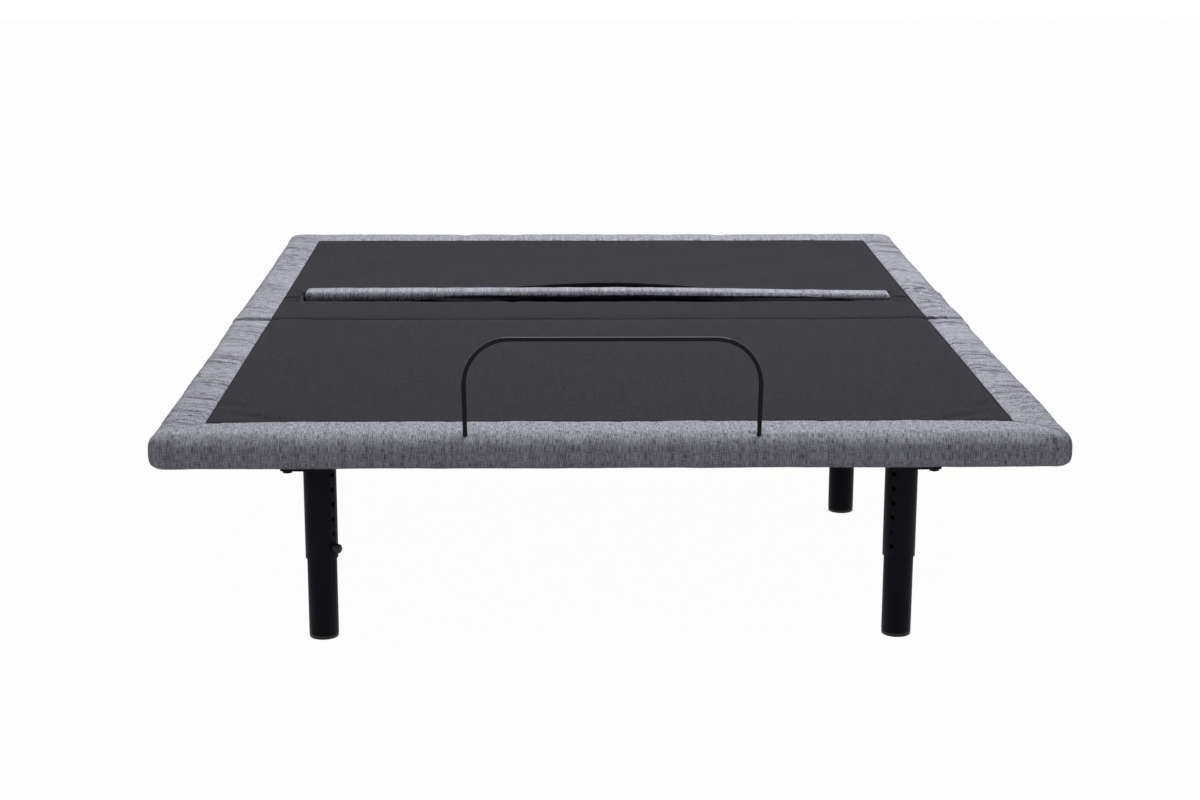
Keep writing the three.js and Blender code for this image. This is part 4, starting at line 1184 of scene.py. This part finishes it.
def round_bar(name, radius, low, high, sides=ROUND_SIDES, ends="NGON", centre=(0, 0)):
    """An upright round bar, or an open tube's surface with ends="NOTHING"."""
    choose()
    bpy.ops.mesh.primitive_cylinder_add(vertices=sides, radius=radius, depth=high - low, end_fill_type=ends,
                                        location=(*centre, (low + high) / 2))
    return settled(name)


def lay_down(piece, height):
    """Turns an upright bar about X so that its top points along -Y, and lifts it to a height."""
    piece.data.transform(Matrix.Translation((0, 0, height)) @ turned_about("X", 90))


def cut_away(piece, tool):
    """Takes the tool's shape out of the piece, and removes the tool."""
    apply(piece, add_modifier(piece, "BOOLEAN", operation="DIFFERENCE", solver="EXACT", object=tool))
    bpy.data.objects.remove(tool)


def ease_edges(piece, width=0.0005, segments=2):
    """Rounds every hard edge of a finished piece by a little."""
    apply(piece, add_modifier(piece, "BEVEL", width=width, segments=segments, limit_method="ANGLE",
                              angle_limit=math.radians(HARD_ANGLE)))
    smooth_all(piece, SMOOTH_ANGLE)


def drilled_tube(name, radius, low, high, holes):
    """An open tube with a row of holes through it along Y."""
    tube = round_bar(name, radius, low, high, ends="NOTHING")
    thicken(tube, WALL)
    for step in range(holes):
        drill = round_bar("drill", HOLE_RADIUS, -DRILL_HALF, DRILL_HALF, 20)
        lay_down(drill, HOLE_LOW + HOLE_PITCH * step)
        cut_away(tube, drill)
    ease_edges(tube)
    return tube


def join_pieces(name, *pieces):
    choose(*pieces)
    bpy.ops.object.join()
    pieces[0].name = name
    return pieces[0]


# %% The sleeve with its flange plate
WASHER_RADIUS, WASHER_HIGH = 0.0105, 0.0012
BOLT_RADIUS, BOLT_HIGH, BOLT_ROUND = 0.0088, 0.0050, 0.0012
PLATE_ROUND = 0.008
BEAD_OUT, BEAD_RADIUS = 0.0008, 0.0024
BEAD_RIPPLES, RIPPLE_HIGH = 36, 0.0005


def hex_bolt(x, y, top):
    """A washer and a thin hexagon head hanging from a plate."""
    washer = round_bar("washer", WASHER_RADIUS, top - WASHER_HIGH, top, 24, centre=(x, y))
    head = round_bar("head", BOLT_RADIUS, top - BOLT_HIGH, top - WASHER_HIGH, 6, centre=(x, y))
    bevel_where(level_at(top - BOLT_HIGH), BOLT_ROUND, 2)
    leave_edit()
    return join_pieces("bolt", head, washer)


sleeve = drilled_tube("sleeve", SLEEVE_RADIUS, SLEEVE_LOW, SLEEVE_HIGH, HOLE_COUNT)
plate = block("plate", (-PLATE_IN, -PLATE_HALF, PLATE_LOW), (PLATE_OUT, PLATE_HALF, PLATE_HIGH))
bevel_where(upright, PLATE_ROUND, 5)
leave_edit()
cut_away(plate, round_bar("throat", SLEEVE_RADIUS - 0.001, PLATE_LOW - 0.01, PLATE_HIGH + 0.01))
ease_edges(plate)
choose()
bpy.ops.mesh.primitive_torus_add(major_segments=72, minor_segments=8, major_radius=SLEEVE_RADIUS + BEAD_OUT,
                                 minor_radius=BEAD_RADIUS, location=(0, 0, PLATE_LOW))
bead = settled("bead")
points = places(bead)
round_bead = np.arctan2(points[:, 1], points[:, 0])
points += outward(bead) * (RIPPLE_HIGH * np.sin(BEAD_RIPPLES * round_bead))[:, None]
put_places(bead, points)
bolts = [hex_bolt(BOLT_X, y, PLATE_LOW) for y in (-BOLT_Y, BOLT_Y)]

# %% The tube, its foot and the hand screw
SCREW_SEAT = SLEEVE_RADIUS + 0.0003
SCREW_TIP = TUBE_RADIUS + 0.0003  # clear of the tube, which slides past it
KNOB_RADIUS, KNOB_LONG, STUD_RADIUS = 0.0082, 0.013, 0.0037


def turned_part(name, radius, low, high, sides, *rounds):
    """A round bar with the edges at some heights rounded, each by a width, laid down at the lowest hole."""
    part = round_bar(name, radius, low, high, sides)
    for height, width, segments in rounds:
        bevel_where(level_at(height), width, segments)
    leave_edit()
    lay_down(part, HOLE_LOW)
    smooth_all(part, 40)
    return part


tube = drilled_tube("tube", TUBE_RADIUS, FOOT_HIGH, TUBE_HIGH, 1)
foot = round_bar("foot", TUBE_RADIUS - 0.0002, 0.0, FOOT_HIGH - 0.0004)
edit("FACE")
pick("faces", lambda face, middle: middle.z < 0.0001)
bpy.ops.mesh.inset(thickness=0.006, depth=0)
bpy.ops.mesh.inset(thickness=0.0015, depth=-0.0015)
leave_edit()
ease_edges(foot, 0.0012, 3)
knob = turned_part("knob", KNOB_RADIUS, SCREW_SEAT, SCREW_SEAT + KNOB_LONG, 32,
                   (SCREW_SEAT + KNOB_LONG, 0.0045, 6), (SCREW_SEAT, 0.0016, 3))
shank = turned_part("shank", STUD_RADIUS, SCREW_TIP, SCREW_SEAT + 0.002, 20, (SCREW_TIP, 0.0008, 2))

# %% Six legs
LEG_PARTS = (  # each piece, the end of its name, its finish, its body and the CAD part it stands for
    (tube, "tube_round", "black_steel", "leg", "leg_tube"),
    (foot, "foot", "black_plastic", "leg", None),
    (knob, "knob", "black_plastic", "leg_screw", "leg_screw"),
    (shank, "stud", "zinc", "leg_screw", None),
)


def copy_to(master, name, turn, place):
    """A copy with its own mesh, turned about Z and put in place."""
    made = bpy.data.objects.new(name, master.data.copy())
    bpy.context.scene.collection.objects.link(made)
    made.data.transform(Matrix.Translation(place) @ turned_about("Z", turn))
    return made


for name, turn in LEG_TURNS.items():
    low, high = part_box(f"{name}_leg_tube")
    place = ((low.x + high.x) / 2, (low.y + high.y) / 2, 0)
    outwards = 0 if place[0] > 0 else 180
    parts = [copy_to(sleeve, "sleeve_part", turn, place)]
    parts += [copy_to(master, "plate_part", outwards, place) for master in (plate, bead, *bolts)]
    whole = join_pieces(f"{name}_sleeve_round", *parts)
    wear(whole, "black_steel")
    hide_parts(f"{name}_leg_sleeve")
    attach(whole, "base")
    for master, ending, slot, body, cad_part in LEG_PARTS:
        piece = copy_to(master, f"{name}_{ending}", turn, place)
        wear(piece, slot)
        if cad_part:
            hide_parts(f"{name}_{cad_part}")
        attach(piece, f"{name}_{body}")
for master in (sleeve, plate, bead, *bolts, tube, foot, knob, shank):
    bpy.data.objects.remove(master)
print("legs", len(LEG_TURNS))

# %% [markdown]
# ## Staples
#
# The linen is turned in under the rim and stapled to it. One staple is a crown with two prongs. Copies of
# it are joined into one row for each section, so each row moves with its own board.

# %% Make the staples
STAPLE_PITCH, STAPLE_INSET = 0.048, 0.021
STAPLE_WIDE, PRONG, WIRE = 0.010, 0.003, 0.0008
END_RUN = 0.70
RUNS = {"calf_section": (-0.975, -0.545), "thigh_section": (-0.435, -0.075),
        "base": (0.010, 0.120), "head_section": (0.225, 0.975)}
ENDS = {"calf_section": -1, "head_section": 1}


def wire_block(name, low_x, high_x, high_z):
    return block(name, (low_x, -WIRE / 2, -WIRE / 2), (high_x, WIRE / 2, high_z))


crown = wire_block("crown", -STAPLE_WIDE / 2, STAPLE_WIDE / 2, WIRE / 2)
bevel_where(lambda edge, middle: middle.z < -WIRE * 0.4 and abs(middle.x) < WIRE, WIRE * 0.35, 1)
leave_edit()
prongs = [wire_block("prong", (side * STAPLE_WIDE - WIRE) / 2, (side * STAPLE_WIDE + WIRE) / 2, PRONG)
          for side in (-1, 1)]
staple = join_pieces("staple", crown, *prongs)


def steps_between(low, high):
    return [float(step) for step in np.linspace(low, high, 1 + round((high - low) / STAPLE_PITCH))]


def under_linen(points, x, y):
    """The place on the underside of the linen at x, y."""
    near = np.hypot(points[:, 0] - x, points[:, 1] - y) < VOXEL
    return x, y, float(points[near, 2].min())


for body, (low_y, high_y) in RUNS.items():
    points = places(foot_linen if high_y < 0 else head_linen)
    spots = [(under_linen(points, side * (HALF_WIDTH - STAPLE_INSET), y), 90)
             for side in (-1, 1) for y in steps_between(low_y, high_y)]
    if body in ENDS:
        end_y = ENDS[body] * (HALF_LENGTH - STAPLE_INSET)
        spots += [(under_linen(points, x, end_y), 0) for x in steps_between(-END_RUN, END_RUN)]
    copies = [copy_to(staple, "staple_part", turn, place) for place, turn in spots]
    row = join_pieces(f"staples_{body}", *copies)
    wear(row, "zinc")
    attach(row, body)
bpy.data.objects.remove(staple)
